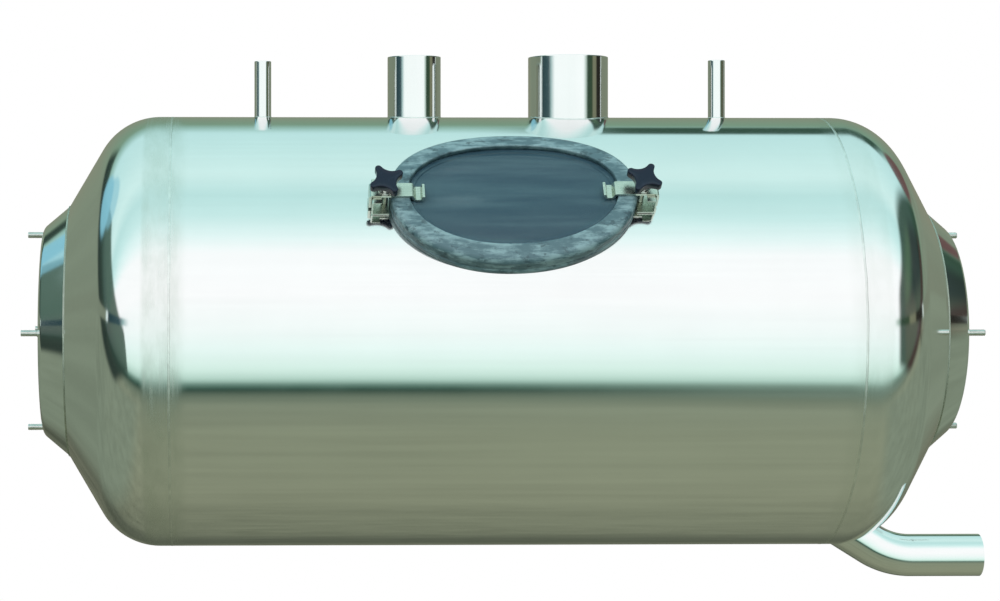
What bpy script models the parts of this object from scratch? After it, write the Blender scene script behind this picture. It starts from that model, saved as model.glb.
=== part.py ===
"""Horizontal milk receiver vessel: a closed stainless shell with an oval hand hole.

The shell is a rolled barrel between two coned ends. Each end is closed by a shallow
pressed pan that carries four hanging studs. Four open stub pipes stand along the top,
and a swept outlet leaves the lowest point of the right end. The hand hole sits on the
front of the barrel. Its clear lid is curved like the barrel, is edged by a grooved
rubber seal, and is held down by two straps with star knobs.

Lengths are in metres and +Z is up. The origin is the middle of the left pan's outer
face. The vessel's axis runs along +X, and the hand hole faces -Y and upwards.
"""

import math

import bmesh
import bpy
from mathutils import Matrix, Vector

# Shell
SHELL_RADIUS = 0.204
SHEET = 0.002
BARREL_LENGTH = 0.616
FACETS = 72

# Ends
END_FLANGE = 0.011
KNUCKLE_RADIUS = 0.063
CONE_LEAN = math.radians(30.6)
KNUCKLE_STEPS = 5

# End pans
PAN_RIM_RADIUS = 0.1190
PAN_DEPTH = 0.0250
PAN_WALL_LEAN = math.radians(40.0)
PAN_FILLET = 0.010
PAN_FILLET_STEPS = 3

# Hanging studs, four on each pan
END_STUD_RADIUS = 0.003
END_STUD_LENGTH = 0.0155
END_STUD_PITCH_RADIUS = 0.0915
END_STUD_CHAMFER = 0.0005
END_STUD_FACETS = 16

# Stub pipes along the top: distance from mid-barrel, outer radius, wall and height
PIPES = {
    "wash_pipe": (-0.2220, 0.0080, 0.0015, 0.0535),
    "milk_inlet_pipe": (-0.0772, 0.0254, 0.0015, 0.0578),
    "vacuum_pipe": (0.0706, 0.03805, 0.0020, 0.0578),
    "probe_pipe": (0.2135, 0.0080, 0.0015, 0.0553),
}
PIPE_INSIDE = 0.003

# Outlet: its bend and tip lie past the right seam, and its tip below the shell's underside
OUTLET_RADIUS = 0.0205
OUTLET_WALL = 0.0015
OUTLET_BEND_RADIUS = 0.072
OUTLET_BEND_PAST_SEAM = 0.092
OUTLET_SLOPE = math.radians(32.0)
OUTLET_TIP_PAST_SEAM = 0.159
OUTLET_BELOW_SHELL = 0.012
OUTLET_LEAD_IN = 0.060
OUTLET_BEND_STEPS = 7

# Hand hole
HATCH_TILT = math.radians(36.1)
HATCH_TWIST = math.radians(2.0)
HATCH_SHIFT = -0.002
HATCH_HALF_LENGTH = 0.1105
HATCH_HALF_WIDTH = 0.0719
HATCH_FULLNESS = 2.15
HATCH_STATIONS = 64
SEAL_WIDTH = 0.017
SEAL_HEIGHT = 0.017
SEAL_FOOT_WIDTH = 0.015
SEAL_LIP = 0.0055
GROOVE_DEPTH = 0.009
SEAL_SHOULDER = 0.0045
HOLE_INSET = 0.0175
LID_THICKNESS = 0.005
LID_FACETS = 144

# Clamps
CLAMP_TILTS = {"left": math.radians(35.3), "right": math.radians(35.9)}
CLAMP_STUD_RADIUS = 0.003
CLAMP_STUD_CLEARANCE = 0.0008
STRAP_WIDTH = 0.0145
STRAP_THICKNESS = 0.0022
STRAP_HOLE_CLEARANCE = 0.0004
STRAP_BEND_RADIUS = 0.0022
STRAP_DROP_CLEARANCE = 0.0028
STRAP_DROP_LEAN = 0.45
STRAP_TIP_RISE = 0.0052
STRAP_TIP_LEAN = 0.25
STRAP_LEG_FOOT = 0.0023
STRAP_TIP_INSET = 0.0140
BRACKET_DEPTH = 0.027
BRACKET_WALL = 0.002
BRACKET_BOX = 0.0084
BRACKET_FOLD = 0.0018
WASHER_RADIUS = 0.0068
WASHER_THICKNESS = 0.0012
INSERT_RADIUS = 0.005
INSERT_LENGTH = 0.0124
KNOB_TIP_RADIUS = 0.0165
KNOB_TIP_ROUND = 0.0034
KNOB_WAIST_RADIUS = 0.0092
KNOB_THICKNESS = 0.0076
KNOB_STANDOFF = 0.0071
KNOB_EDGE = 0.0010
KNOB_TURN = math.radians(30.0)
KNOB_ARC_STEPS = 6
STUD_BELOW_INSERT_TOP = 0.0003

# Clearances
WELD_GAP = 0.0003
SEAT_GAP = 0.0003
FIT_GAP = 0.0003
CUT_MARGIN = 0.020

# Derived places
KNUCKLE_CENTRE = Vector((BARREL_LENGTH / 2 + END_FLANGE, SHELL_RADIUS - KNUCKLE_RADIUS))
CONE_START_RADIUS = KNUCKLE_CENTRE.y + KNUCKLE_RADIUS * math.sin(CONE_LEAN)
CONE_START_X = KNUCKLE_CENTRE.x + KNUCKLE_RADIUS * math.cos(CONE_LEAN)
RIM_X = CONE_START_X + (CONE_START_RADIUS - PAN_RIM_RADIUS) * math.tan(CONE_LEAN)
HALF_LENGTH = RIM_X + PAN_DEPTH
CENTRE = Vector((HALF_LENGTH, 0.0, 0.0))
PAN_CORNER_RADIUS = PAN_RIM_RADIUS - PAN_DEPTH * math.tan(PAN_WALL_LEAN)
OUTLET_DROP = SHELL_RADIUS + OUTLET_BELOW_SHELL

SEAL_TOP = SHELL_RADIUS + SEAL_HEIGHT
LID_OUTER = SEAL_TOP - SEAL_LIP
LID_INNER = LID_OUTER - LID_THICKNESS
GROOVE_INSET = SEAL_WIDTH - GROOVE_DEPTH
CLAMP_OFFSET = HATCH_HALF_LENGTH + CLAMP_STUD_RADIUS + CLAMP_STUD_CLEARANCE

# Colours: base colour, roughness and metallic
STEEL = ((0.62, 0.66, 0.62, 1.0), 0.16, 1.0)
STRAP_STEEL = ((0.66, 0.68, 0.62, 1.0), 0.28, 1.0)
RUBBER = ((0.20, 0.29, 0.31, 1.0), 0.55, 0.0)
SMOKED_CLEAR = ((0.10, 0.16, 0.19, 1.0), 0.12, 0.0)
KNOB_PLASTIC = ((0.02, 0.03, 0.05, 1.0), 0.35, 0.0)


def clear_scene():
    """Remove every object so that the script can be run again."""
    for old in list(bpy.data.objects):
        bpy.data.objects.remove(old, do_unlink=True)
    for old in list(bpy.data.collections):
        bpy.data.collections.remove(old)


def new_collection(name):
    """Make a collection under the scene."""
    made = bpy.data.collections.new(name)
    bpy.context.scene.collection.children.link(made)
    return made


def new_material(name, look):
    """Make a Principled material from a (colour, roughness, metallic) look."""
    colour, roughness, metallic = look
    made = bpy.data.materials.new(name)
    made.use_nodes = True
    shader = made.node_tree.nodes["Principled BSDF"]
    shader.inputs["Base Color"].default_value = colour
    shader.inputs["Roughness"].default_value = roughness
    shader.inputs["Metallic"].default_value = metallic
    return made


def new_empty(name, matrix, parts):
    """Make an empty that holds the frame of a group of pieces."""
    made = bpy.data.objects.new(name, None)
    parts.objects.link(made)
    made.empty_display_size = 0.03
    made.matrix_world = matrix
    return made


def new_object(name, mesh, group, look=None, parent=None):
    """Link a mesh as an object, with its own material, under an optional parent."""
    made = bpy.data.objects.new(name, mesh)
    group.objects.link(made)
    made.parent = parent
    if look is not None:
        made.data.materials.clear()
        made.data.materials.append(new_material(name, look))
    return made


def shade_round(mesh, angle=math.radians(30.0)):
    """Shade smooth, keeping edges sharper than the angle."""
    mesh.shade_smooth()
    mesh.set_sharp_from_angle(angle=angle)


def mesh_from_bmesh(name, shape):
    """Turn a bmesh into a mesh and free it."""
    mesh = bpy.data.meshes.new(name)
    shape.to_mesh(mesh)
    shape.free()
    return mesh


def open_tube(name, radius, length, facets=FACETS):
    """Return the open side surface of a cylinder about Z, centred on the origin."""
    shape = bmesh.new()
    bmesh.ops.create_cone(
        shape, cap_ends=False, segments=facets, radius1=radius, radius2=radius, depth=length
    )
    return mesh_from_bmesh(name, shape)


def solid_rod(name, radius, bottom, top, facets=24):
    """Return a closed cylinder about Z between two heights."""
    shape = bmesh.new()
    bmesh.ops.create_cone(
        shape,
        cap_ends=True,
        segments=facets,
        radius1=radius,
        radius2=radius,
        depth=top - bottom,
        matrix=Matrix.Translation((0.0, 0.0, (top + bottom) / 2)),
    )
    return mesh_from_bmesh(name, shape)


def turned(name, profile, closed, group, look, facets=FACETS):
    """Turn a profile of (radius, height) points about Z with a Screw modifier."""
    shape = bmesh.new()
    points = [shape.verts.new((radius, 0.0, height)) for radius, height in profile]
    for start, end in zip(points, points[1:]):
        shape.edges.new((start, end))
    if closed:
        shape.edges.new((points[-1], points[0]))
    made = new_object(name, mesh_from_bmesh(name, shape), group, look)
    screw = made.modifiers.new("turn", "SCREW")
    screw.steps = facets
    screw.render_steps = facets
    screw.use_merge_vertices = True
    screw.merge_threshold = 0.00005
    screw.use_smooth_shade = True
    return made


def add_solidify(made, thickness):
    """Give an open surface its sheet thickness, inwards."""
    solidify = made.modifiers.new("sheet", "SOLIDIFY")
    solidify.thickness = thickness
    solidify.offset = -1.0
    solidify.use_even_offset = True


def add_bevel(made, width, segments=2):
    """Round the edges sharper than thirty degrees."""
    bevel = made.modifiers.new("edge", "BEVEL")
    bevel.width = width
    bevel.segments = segments
    bevel.limit_method = "ANGLE"
    bevel.angle_limit = math.radians(30.0)


def cut(made, cutter, operation="DIFFERENCE"):
    """Cut a piece with a cutter by an exact Boolean."""
    boolean = made.modifiers.new(operation.lower(), "BOOLEAN")
    boolean.operation = operation
    boolean.solver = "EXACT"
    boolean.object = cutter


def as_cutter(name, mesh, cutters, parent=None, matrix=None):
    """Link a mesh as a hidden cutter."""
    made = new_object(name, mesh, cutters, parent=parent)
    made.hide_render = True
    made.display_type = "WIRE"
    if matrix is not None:
        made.matrix_world = matrix
    return made


def arc_points(centre, radius, start, end, steps):
    """Points along an arc, both ends included."""
    span = end - start
    return [
        centre + Vector((math.cos(start + span * i / steps), math.sin(start + span * i / steps))) * radius
        for i in range(steps + 1)
    ]


def outline_mesh(name, loops, thickness, facing=None):
    """Fill flat closed loops and thicken them evenly about their plane.

    The first loop is the outside and the others are holes. The facing matrix turns
    the plane of the outline.
    """
    curve = bpy.data.curves.new(name, "CURVE")
    curve.dimensions = "2D"
    curve.fill_mode = "BOTH"
    curve.extrude = thickness / 2
    for loop in loops:
        spline = curve.splines.new("POLY")
        spline.points.add(len(loop) - 1)
        for point, place in zip(spline.points, loop):
            point.co = (place[0], place[1], 0.0, 1.0)
        spline.use_cyclic_u = True
    return mesh_from_curve(name, curve, facing)


def mesh_from_curve(name, curve, facing=None):
    """Convert a curve to a mesh with its caps welded, and remove the curve."""
    guide = bpy.data.objects.new(name + "_curve", curve)
    bpy.context.scene.collection.objects.link(guide)
    graph = bpy.context.evaluated_depsgraph_get()
    mesh = bpy.data.meshes.new_from_object(guide.evaluated_get(graph))
    mesh.name = name
    shape = bmesh.new()
    shape.from_mesh(mesh)
    bmesh.ops.remove_doubles(shape, verts=shape.verts, dist=0.000005)
    if facing is not None:
        bmesh.ops.transform(shape, matrix=facing, verts=shape.verts)
    bmesh.ops.recalc_face_normals(shape, faces=shape.faces)
    shape.to_mesh(mesh)
    shape.free()
    bpy.data.objects.remove(guide, do_unlink=True)
    return mesh


def rounded_path(corners, radius, steps=3):
    """Round the inner corners of an open polyline with arcs of one radius."""
    path = [corners[0]]
    for before, corner, after in zip(corners, corners[1:], corners[2:]):
        back = (before - corner).normalized()
        ahead = (after - corner).normalized()
        half = back.angle(ahead) / 2
        reach = radius / math.tan(half)
        middle = corner + (back + ahead).normalized() * (radius / math.sin(half))
        start = corner + back * reach - middle
        end = corner + ahead * reach - middle
        turn = start.angle_signed(end)
        for i in range(steps + 1):
            angle = -turn * i / steps
            cosine = math.cos(angle)
            sine = math.sin(angle)
            step = Vector((start.x * cosine - start.y * sine, start.x * sine + start.y * cosine))
            path.append(middle + step)
    path.append(corners[-1])
    return path


def band_outline(path, thickness):
    """Return the closed outline of a strip of even thickness along a path."""
    left = []
    right = []
    for i, place in enumerate(path):
        before = path[max(i - 1, 0)]
        after = path[min(i + 1, len(path) - 1)]
        along = (after - before).normalized()
        side = Vector((-along.y, along.x)) * (thickness / 2)
        left.append(place + side)
        right.append(place - side)
    return left + right[::-1]


def end_profile(grow=0.0):
    """Outer line of a coned end from its rim to its seam, as (radius, distance) points.

    A positive grow moves the line inwards by that much, square to itself.
    """
    lean = math.sin(CONE_LEAN)
    rim_radius = PAN_RIM_RADIUS - grow / lean
    knuckle = arc_points(
        Vector((KNUCKLE_CENTRE.y, KNUCKLE_CENTRE.x)),
        KNUCKLE_RADIUS - grow,
        math.pi / 2 - CONE_LEAN,
        0.0,
        KNUCKLE_STEPS,
    )
    return [(rim_radius, RIM_X)] + [tuple(point) for point in knuckle]


def pan_profile(grow=0.0):
    """Outer line of an end pan from its centre to its rim, as (radius, distance) points."""
    face = HALF_LENGTH - grow
    wall = Vector((math.sin(PAN_WALL_LEAN), -math.cos(PAN_WALL_LEAN)))
    half = (math.pi / 2 - PAN_WALL_LEAN) / 2
    centre = Vector((PAN_CORNER_RADIUS - PAN_FILLET * math.tan(half), HALF_LENGTH - PAN_FILLET))
    fillet = arc_points(
        centre, PAN_FILLET - grow, math.pi / 2, PAN_WALL_LEAN, PAN_FILLET_STEPS
    )
    foot = RIM_X + WELD_GAP
    reach = (fillet[-1].y - foot) / -wall.y
    rim = fillet[-1] + wall * reach
    return [(0.0, face)] + [tuple(point) for point in fillet] + [tuple(rim)]


def end_frame(side):
    """Frame at mid-vessel whose Z points out through the left (-1) or right (+1) end."""
    turn = Matrix.Rotation(side * math.pi / 2, 4, "Y")
    return Matrix.Translation(CENTRE) @ turn


def surface_frame(tilt, shift, twist=0.0):
    """Frame on the barrel's surface: Z square to the shell, X twisted from the vessel's axis."""
    out = Vector((0.0, -math.cos(tilt), math.sin(tilt)))
    up_slope = Vector((0.0, math.sin(tilt), math.cos(tilt)))
    turn = Matrix((Vector((1.0, 0.0, 0.0)), up_slope, out)).transposed().to_4x4()
    place = CENTRE + Vector((shift, 0.0, 0.0)) + out * SHELL_RADIUS
    return Matrix.Translation(place) @ turn @ Matrix.Rotation(twist, 4, "Z")


def oval(inset):
    """Points of the hatch's oval, moved in by an even inset from the seal's outside.

    The fullness is the power of the oval's equation: 2 is an ellipse and more is squarer.
    """
    power = HATCH_FULLNESS
    points = []
    for i in range(HATCH_STATIONS):
        angle = 2 * math.pi * i / HATCH_STATIONS
        along = math.cos(angle) / HATCH_HALF_LENGTH
        across = math.sin(angle) / HATCH_HALF_WIDTH
        reach = (abs(along) ** power + abs(across) ** power) ** (-1 / power)
        slope_along = math.copysign(abs(along) ** (power - 1), along) / HATCH_HALF_LENGTH
        slope_across = math.copysign(abs(across) ** (power - 1), across) / HATCH_HALF_WIDTH
        edge = Vector((math.cos(angle), math.sin(angle))) * reach
        points.append(edge - Vector((slope_along, slope_across)).normalized() * inset)
    return points


def on_shell(place, radius):
    """Lift an oval's point to a surface of the given radius about the vessel's axis."""
    across = place.x * math.sin(HATCH_TWIST) + place.y * math.cos(HATCH_TWIST)
    return (place.x, place.y, math.sqrt(radius**2 - across**2) - SHELL_RADIUS)


def seal_section():
    """Section of the seal as (inset from the outside, radius) points, once around."""
    foot = SHELL_RADIUS + SEAT_GAP
    groove_top = LID_OUTER + FIT_GAP
    groove_floor = LID_INNER - FIT_GAP
    shoulder = arc_points(
        Vector((SEAL_SHOULDER, SEAL_TOP - SEAL_SHOULDER)), SEAL_SHOULDER, math.pi, math.pi / 2, 3
    )
    thirds = [SEAL_FOOT_WIDTH * i / 3 for i in (2, 1)]
    section = [(0.0, foot)]
    section += [tuple(point) for point in shoulder]
    section += [(SEAL_WIDTH - 0.0015, SEAL_TOP), (SEAL_WIDTH, SEAL_TOP - 0.0015)]
    section += [(SEAL_WIDTH, groove_top), (GROOVE_INSET, groove_top)]
    section += [(GROOVE_INSET, groove_floor), (SEAL_FOOT_WIDTH, groove_floor)]
    section += [(SEAL_FOOT_WIDTH, foot)]
    section += [(inset, foot) for inset in thirds]
    return section


def build_seal(parts, frame):
    """Rubber seal: a grooved section carried round the oval and curved to the shell."""
    shape = bmesh.new()
    rings = []
    for inset, radius in seal_section():
        rings.append([shape.verts.new(on_shell(place, radius)) for place in oval(inset)])
    for ring, following in zip(rings, rings[1:] + rings[:1]):
        for i in range(HATCH_STATIONS):
            j = (i + 1) % HATCH_STATIONS
            shape.faces.new((ring[i], ring[j], following[j], following[i]))
    bmesh.ops.recalc_face_normals(shape, faces=shape.faces)
    made = new_object("lid_seal", mesh_from_bmesh("lid_seal", shape), parts, RUBBER, frame)
    shade_round(made.data)
    return made


def build_lid_panel(parts, cutters, frame):
    """Clear lid: the piece of a tube that an oval prism takes out of it."""
    tube = open_tube("lid_panel", LID_OUTER, BARREL_LENGTH / 2, LID_FACETS)
    made = new_object("lid_panel", tube, parts, SMOKED_CLEAR)
    made.matrix_world = end_frame(1)
    add_solidify(made, LID_THICKNESS)
    prism = outline_mesh("lid_outline", [oval(GROOVE_INSET + FIT_GAP)], SHELL_RADIUS)
    cut(made, as_cutter("lid_outline", prism, cutters, parent=frame), "INTERSECT")
    shade_round(made.data)
    return made


def build_barrel(parts, cutters, frame):
    """Barrel: a rolled sheet with the hand hole and four pipe holes cut through it."""
    length = BARREL_LENGTH - 2 * WELD_GAP
    made = new_object("barrel", open_tube("barrel", SHELL_RADIUS, length), parts, STEEL)
    made.matrix_world = end_frame(1)
    add_solidify(made, SHEET)
    hole = outline_mesh("hand_hole", [oval(HOLE_INSET)], SHELL_RADIUS)
    cut(made, as_cutter("hand_hole", hole, cutters, parent=frame))
    for name, (offset, radius, _wall, _height) in PIPES.items():
        drill = solid_rod(
            name + "_hole", radius + WELD_GAP, SHELL_RADIUS - CUT_MARGIN, SHELL_RADIUS + CUT_MARGIN, 48
        )
        place = Matrix.Translation(CENTRE + Vector((offset, 0.0, 0.0)))
        cut(made, as_cutter(name + "_hole", drill, cutters, matrix=place))
    shade_round(made.data)
    return made


def build_end(side, name, parts):
    """Coned end: flange, knuckle and cone, turned from one profile."""
    seam = BARREL_LENGTH / 2
    outer = end_profile() + [(SHELL_RADIUS, seam)]
    inner = end_profile(SHEET) + [(SHELL_RADIUS - SHEET, seam)]
    made = turned(name, outer + inner[::-1], True, parts, STEEL)
    made.matrix_world = end_frame(side)
    return made


def build_pan(side, name, parts):
    """End pan: a shallow pressed dish that closes the cone."""
    profile = pan_profile() + pan_profile(SHEET)[::-1]
    made = turned(name, profile, False, parts, STEEL)
    made.matrix_world = end_frame(side)
    return made


def build_end_studs(side, name, parts):
    """Four hanging studs on one pan, a quarter turn apart."""
    places = {
        "top": (0.0, 0.0, 1.0),
        "bottom": (0.0, 0.0, -1.0),
        "front": (0.0, -1.0, 0.0),
        "rear": (0.0, 1.0, 0.0),
    }
    foot = HALF_LENGTH + WELD_GAP
    for word, way in places.items():
        tip = HALF_LENGTH + END_STUD_LENGTH
        rod = solid_rod(name + "_" + word, END_STUD_RADIUS, foot, tip, END_STUD_FACETS)
        made = new_object(name + "_" + word, rod, parts, STEEL)
        shift = Matrix.Translation(Vector(way) * END_STUD_PITCH_RADIUS)
        made.matrix_world = shift @ end_frame(side)
        add_bevel(made, END_STUD_CHAMFER, 1)
        shade_round(made.data)


def build_pipes(parts):
    """Open stub pipes standing on the barrel's top line."""
    for name, (offset, radius, wall, height) in PIPES.items():
        top = SHELL_RADIUS + height
        bottom = SHELL_RADIUS - SHEET - PIPE_INSIDE
        bore = radius - wall
        profile = [(radius, top), (radius, bottom), (bore, bottom), (bore, top)]
        facets = 32 if radius < 0.015 else 48
        made = turned(name, profile, True, parts, STEEL, facets)
        made.location = CENTRE + Vector((offset, 0.0, 0.0))


def outlet_path():
    """Centre line of the outlet in the vessel's middle plane, from inside to its tip."""
    seam = BARREL_LENGTH / 2
    centre = Vector((seam + OUTLET_BEND_PAST_SEAM, OUTLET_BEND_RADIUS - OUTLET_DROP))
    first = -math.pi / 2 - OUTLET_SLOPE
    bend = arc_points(centre, OUTLET_BEND_RADIUS, first, -math.pi / 2, OUTLET_BEND_STEPS)
    lead = Vector((math.cos(OUTLET_SLOPE), -math.sin(OUTLET_SLOPE))) * OUTLET_LEAD_IN
    return [bend[0] - lead] + bend + [Vector((seam + OUTLET_TIP_PAST_SEAM, -OUTLET_DROP))]


def tube_along(name, path, radius, capped):
    """Sweep a round tube surface along a path in the vessel's middle plane."""
    curve = bpy.data.curves.new(name, "CURVE")
    curve.dimensions = "3D"
    curve.bevel_depth = radius
    curve.bevel_resolution = 7
    curve.use_fill_caps = capped
    spline = curve.splines.new("POLY")
    spline.points.add(len(path) - 1)
    for point, place in zip(spline.points, path):
        point.co = (place.x, 0.0, place.y, 1.0)
    return mesh_from_curve(name, curve)


def build_outlet(parts, cutters, end):
    """Outlet: a swept tube trimmed flush with the inside of the right end."""
    path = outlet_path()
    made = new_object("outlet_pipe", tube_along("outlet_pipe", path, OUTLET_RADIUS, False), parts, STEEL)
    made.location = CENTRE
    add_solidify(made, OUTLET_WALL)
    inside = end_profile(SHEET) + [(SHELL_RADIUS - SHEET, 0.0), (0.0, 0.0)]
    core = turned("inside_core", [(0.0, RIM_X)] + inside, False, cutters, None)
    core.hide_render = True
    core.display_type = "WIRE"
    core.matrix_world = end_frame(1)
    cut(made, core)
    drill = tube_along("outlet_hole", path[:-1], OUTLET_RADIUS + WELD_GAP, True)
    place = Matrix.Translation(CENTRE)
    cut(end, as_cutter("outlet_hole", drill, cutters, matrix=place))
    shade_round(made.data)


def star_outline():
    """Outline of the star knob: four round tips joined by hollow sides."""
    reach = KNOB_TIP_RADIUS - KNOB_TIP_ROUND
    lean = math.sqrt(2.0) * reach
    hollow = reach**2 + KNOB_WAIST_RADIUS**2 - lean * KNOB_WAIST_RADIUS - KNOB_TIP_ROUND**2
    hollow /= 2 * KNOB_TIP_ROUND + lean - 2 * KNOB_WAIST_RADIUS
    far = KNOB_WAIST_RADIUS + hollow
    tip = Vector((reach, 0.0))
    centre = Vector((far, far)) / math.sqrt(2.0)
    touch = (centre - tip).angle_signed(Vector((1.0, 0.0)))
    sweep = touch - math.pi / 4
    one = arc_points(tip, KNOB_TIP_ROUND, -touch, touch, KNOB_ARC_STEPS)
    start = math.pi + touch
    one += arc_points(centre, hollow, start, start - 2 * sweep, KNOB_ARC_STEPS)[1:-1]
    outline = []
    for quarter in range(4):
        angle = KNOB_TURN + quarter * math.pi / 2
        cosine = math.cos(angle)
        sine = math.sin(angle)
        outline += [Vector((p.x * cosine - p.y * sine, p.x * sine + p.y * cosine)) for p in one]
    return outline


def strap_path():
    """Middle line of a strap in its side view: (distance out from the stud, height)."""
    half = STRAP_THICKNESS / 2
    run = SEAL_HEIGHT + SEAT_GAP + half
    foot = LID_OUTER - SHELL_RADIUS + SEAT_GAP + half
    leg = CLAMP_STUD_RADIUS + CLAMP_STUD_CLEARANCE + BRACKET_BOX + FIT_GAP + half
    seal_inner = -CLAMP_STUD_RADIUS - CLAMP_STUD_CLEARANCE - SEAL_WIDTH
    drop = seal_inner - STRAP_DROP_CLEARANCE
    lean = (run - foot) * STRAP_DROP_LEAN
    tip = seal_inner - STRAP_TIP_INSET + half
    corners = [
        Vector((leg, STRAP_LEG_FOOT)),
        Vector((leg, run)),
        Vector((drop, run)),
        Vector((drop - lean, foot)),
        Vector((tip + STRAP_TIP_RISE * STRAP_TIP_LEAN, foot)),
        Vector((tip, foot + STRAP_TIP_RISE)),
    ]
    return rounded_path(corners, STRAP_BEND_RADIUS)


def clamp_heights():
    """Heights above the shell of the clamp's stack, each from the piece below it."""
    strap_top = SEAL_HEIGHT + SEAT_GAP + STRAP_THICKNESS
    washer = strap_top + FIT_GAP
    insert = washer + WASHER_THICKNESS + FIT_GAP
    return {
        "washer": washer,
        "insert": insert,
        "insert_top": insert + INSERT_LENGTH,
        "knob": insert + KNOB_STANDOFF,
        "knob_top": insert + KNOB_STANDOFF + KNOB_THICKNESS,
    }


def build_bracket(name, parts, frame):
    """Bracket: a box section with a foot that reaches in under the stud."""
    inner = CLAMP_STUD_RADIUS + CLAMP_STUD_CLEARANCE
    outer = inner + BRACKET_BOX
    foot = WELD_GAP + BRACKET_WALL
    top = SEAL_HEIGHT
    fold = BRACKET_FOLD
    outside = [(FIT_GAP - inner, WELD_GAP), (outer, WELD_GAP)]
    outside += arc_points(Vector((outer - fold, top - fold)), fold, 0.0, math.pi / 2, 3)
    outside += arc_points(Vector((inner + fold, top - fold)), fold, math.pi / 2, math.pi, 3)
    outside += [(inner, foot), (FIT_GAP - inner, foot)]
    hollow = [
        (inner + BRACKET_WALL, foot),
        (outer - BRACKET_WALL, foot),
        (outer - BRACKET_WALL, top - BRACKET_WALL),
        (inner + BRACKET_WALL, top - BRACKET_WALL),
    ]
    upright = Matrix.Rotation(math.pi / 2, 4, "X")
    mesh = outline_mesh(name, [outside, hollow], BRACKET_DEPTH, upright)
    return new_object(name, mesh, parts, STRAP_STEEL, frame)


def build_clamp(side, word, parts, cutters):
    """One clamp: bracket, stud, strap, washer, threaded insert and star knob."""
    turn = Matrix.Rotation(0.0 if side > 0 else math.pi, 4, "Z")
    place = surface_frame(CLAMP_TILTS[word], HATCH_SHIFT + side * CLAMP_OFFSET) @ turn
    frame = new_empty(word + "_clamp_axis", place, parts)
    heights = clamp_heights()
    upright = Matrix.Rotation(math.pi / 2, 4, "X")
    foot = WELD_GAP + BRACKET_WALL + WELD_GAP

    build_bracket(word + "_bracket", parts, frame)

    stud_top = heights["insert_top"] - STUD_BELOW_INSERT_TOP
    rod = solid_rod(word + "_clamp_stud", CLAMP_STUD_RADIUS, foot, stud_top)
    stud = new_object(word + "_clamp_stud", rod, parts, STEEL, frame)
    shade_round(stud.data)

    outline = band_outline(strap_path(), STRAP_THICKNESS)
    mesh = outline_mesh(word + "_strap", [outline], STRAP_WIDTH, upright)
    strap = new_object(word + "_strap", mesh, parts, STRAP_STEEL, frame)
    drill = solid_rod(word + "_strap_hole", CLAMP_STUD_RADIUS + STRAP_HOLE_CLEARANCE, 0.0, stud_top)
    cut(strap, as_cutter(word + "_strap_hole", drill, cutters, parent=frame))
    shade_round(strap.data)

    bore = CLAMP_STUD_RADIUS + STRAP_HOLE_CLEARANCE
    washer_top = heights["washer"] + WASHER_THICKNESS
    ring = [(WASHER_RADIUS, washer_top), (WASHER_RADIUS, heights["washer"])]
    ring += [(bore, heights["washer"]), (bore, washer_top)]
    turned(word + "_washer", ring, True, parts, STEEL, 24).parent = frame

    bush = [(INSERT_RADIUS, heights["insert_top"]), (INSERT_RADIUS, heights["insert"])]
    bush += [(bore, heights["insert"]), (bore, heights["insert_top"])]
    turned(word + "_knob_insert", bush, True, parts, STEEL, 24).parent = frame

    middle = Matrix.Translation((0.0, 0.0, (heights["knob"] + heights["knob_top"]) / 2))
    star = [Vector((p.x, -side * p.y)) for p in star_outline()]
    mesh = outline_mesh(word + "_knob", [star], KNOB_THICKNESS, middle)
    knob = new_object(word + "_knob", mesh, parts, KNOB_PLASTIC, frame)
    add_bevel(knob, KNOB_EDGE)
    pocket_top = heights["insert_top"] + FIT_GAP
    drill = solid_rod(word + "_knob_pocket", INSERT_RADIUS + FIT_GAP, 0.0, pocket_top)
    cut(knob, as_cutter(word + "_knob_pocket", drill, cutters, parent=frame))
    shade_round(knob.data)


def main():
    """Build every piece of the vessel."""
    clear_scene()
    parts = new_collection("milk_receiver_vessel")
    cutters = new_collection("cutters")
    hatch = new_empty("hatch_axis", surface_frame(HATCH_TILT, HATCH_SHIFT, HATCH_TWIST), parts)

    build_barrel(parts, cutters, hatch)
    build_end(-1, "left_end", parts)
    right_end = build_end(1, "right_end", parts)
    build_pan(-1, "left_end_pan", parts)
    build_pan(1, "right_end_pan", parts)
    build_end_studs(-1, "left_end_stud", parts)
    build_end_studs(1, "right_end_stud", parts)
    build_pipes(parts)
    build_outlet(parts, cutters, right_end)
    build_seal(parts, hatch)
    build_lid_panel(parts, cutters, hatch)
    build_clamp(-1, "left", parts, cutters)
    build_clamp(1, "right", parts, cutters)


main()
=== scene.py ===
"""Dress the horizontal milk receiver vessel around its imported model.

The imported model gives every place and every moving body. The shell, its stub pipes, the
outlet, the hand hole's seal and lid, the knobs, the brackets and the threaded studs are
rebuilt here with finer meshes; the straps, washers and inserts keep their own solids and
get better finishes. Lengths are in metres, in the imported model's frame: the vessel's
axis runs along +X at y = z = 0, and the hand hole faces -Y and upwards.
"""

import logging
import math
from dataclasses import dataclass
from enum import Enum
from typing import Sequence

import bmesh
import bpy
from mathutils import Matrix, Vector, noise


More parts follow.
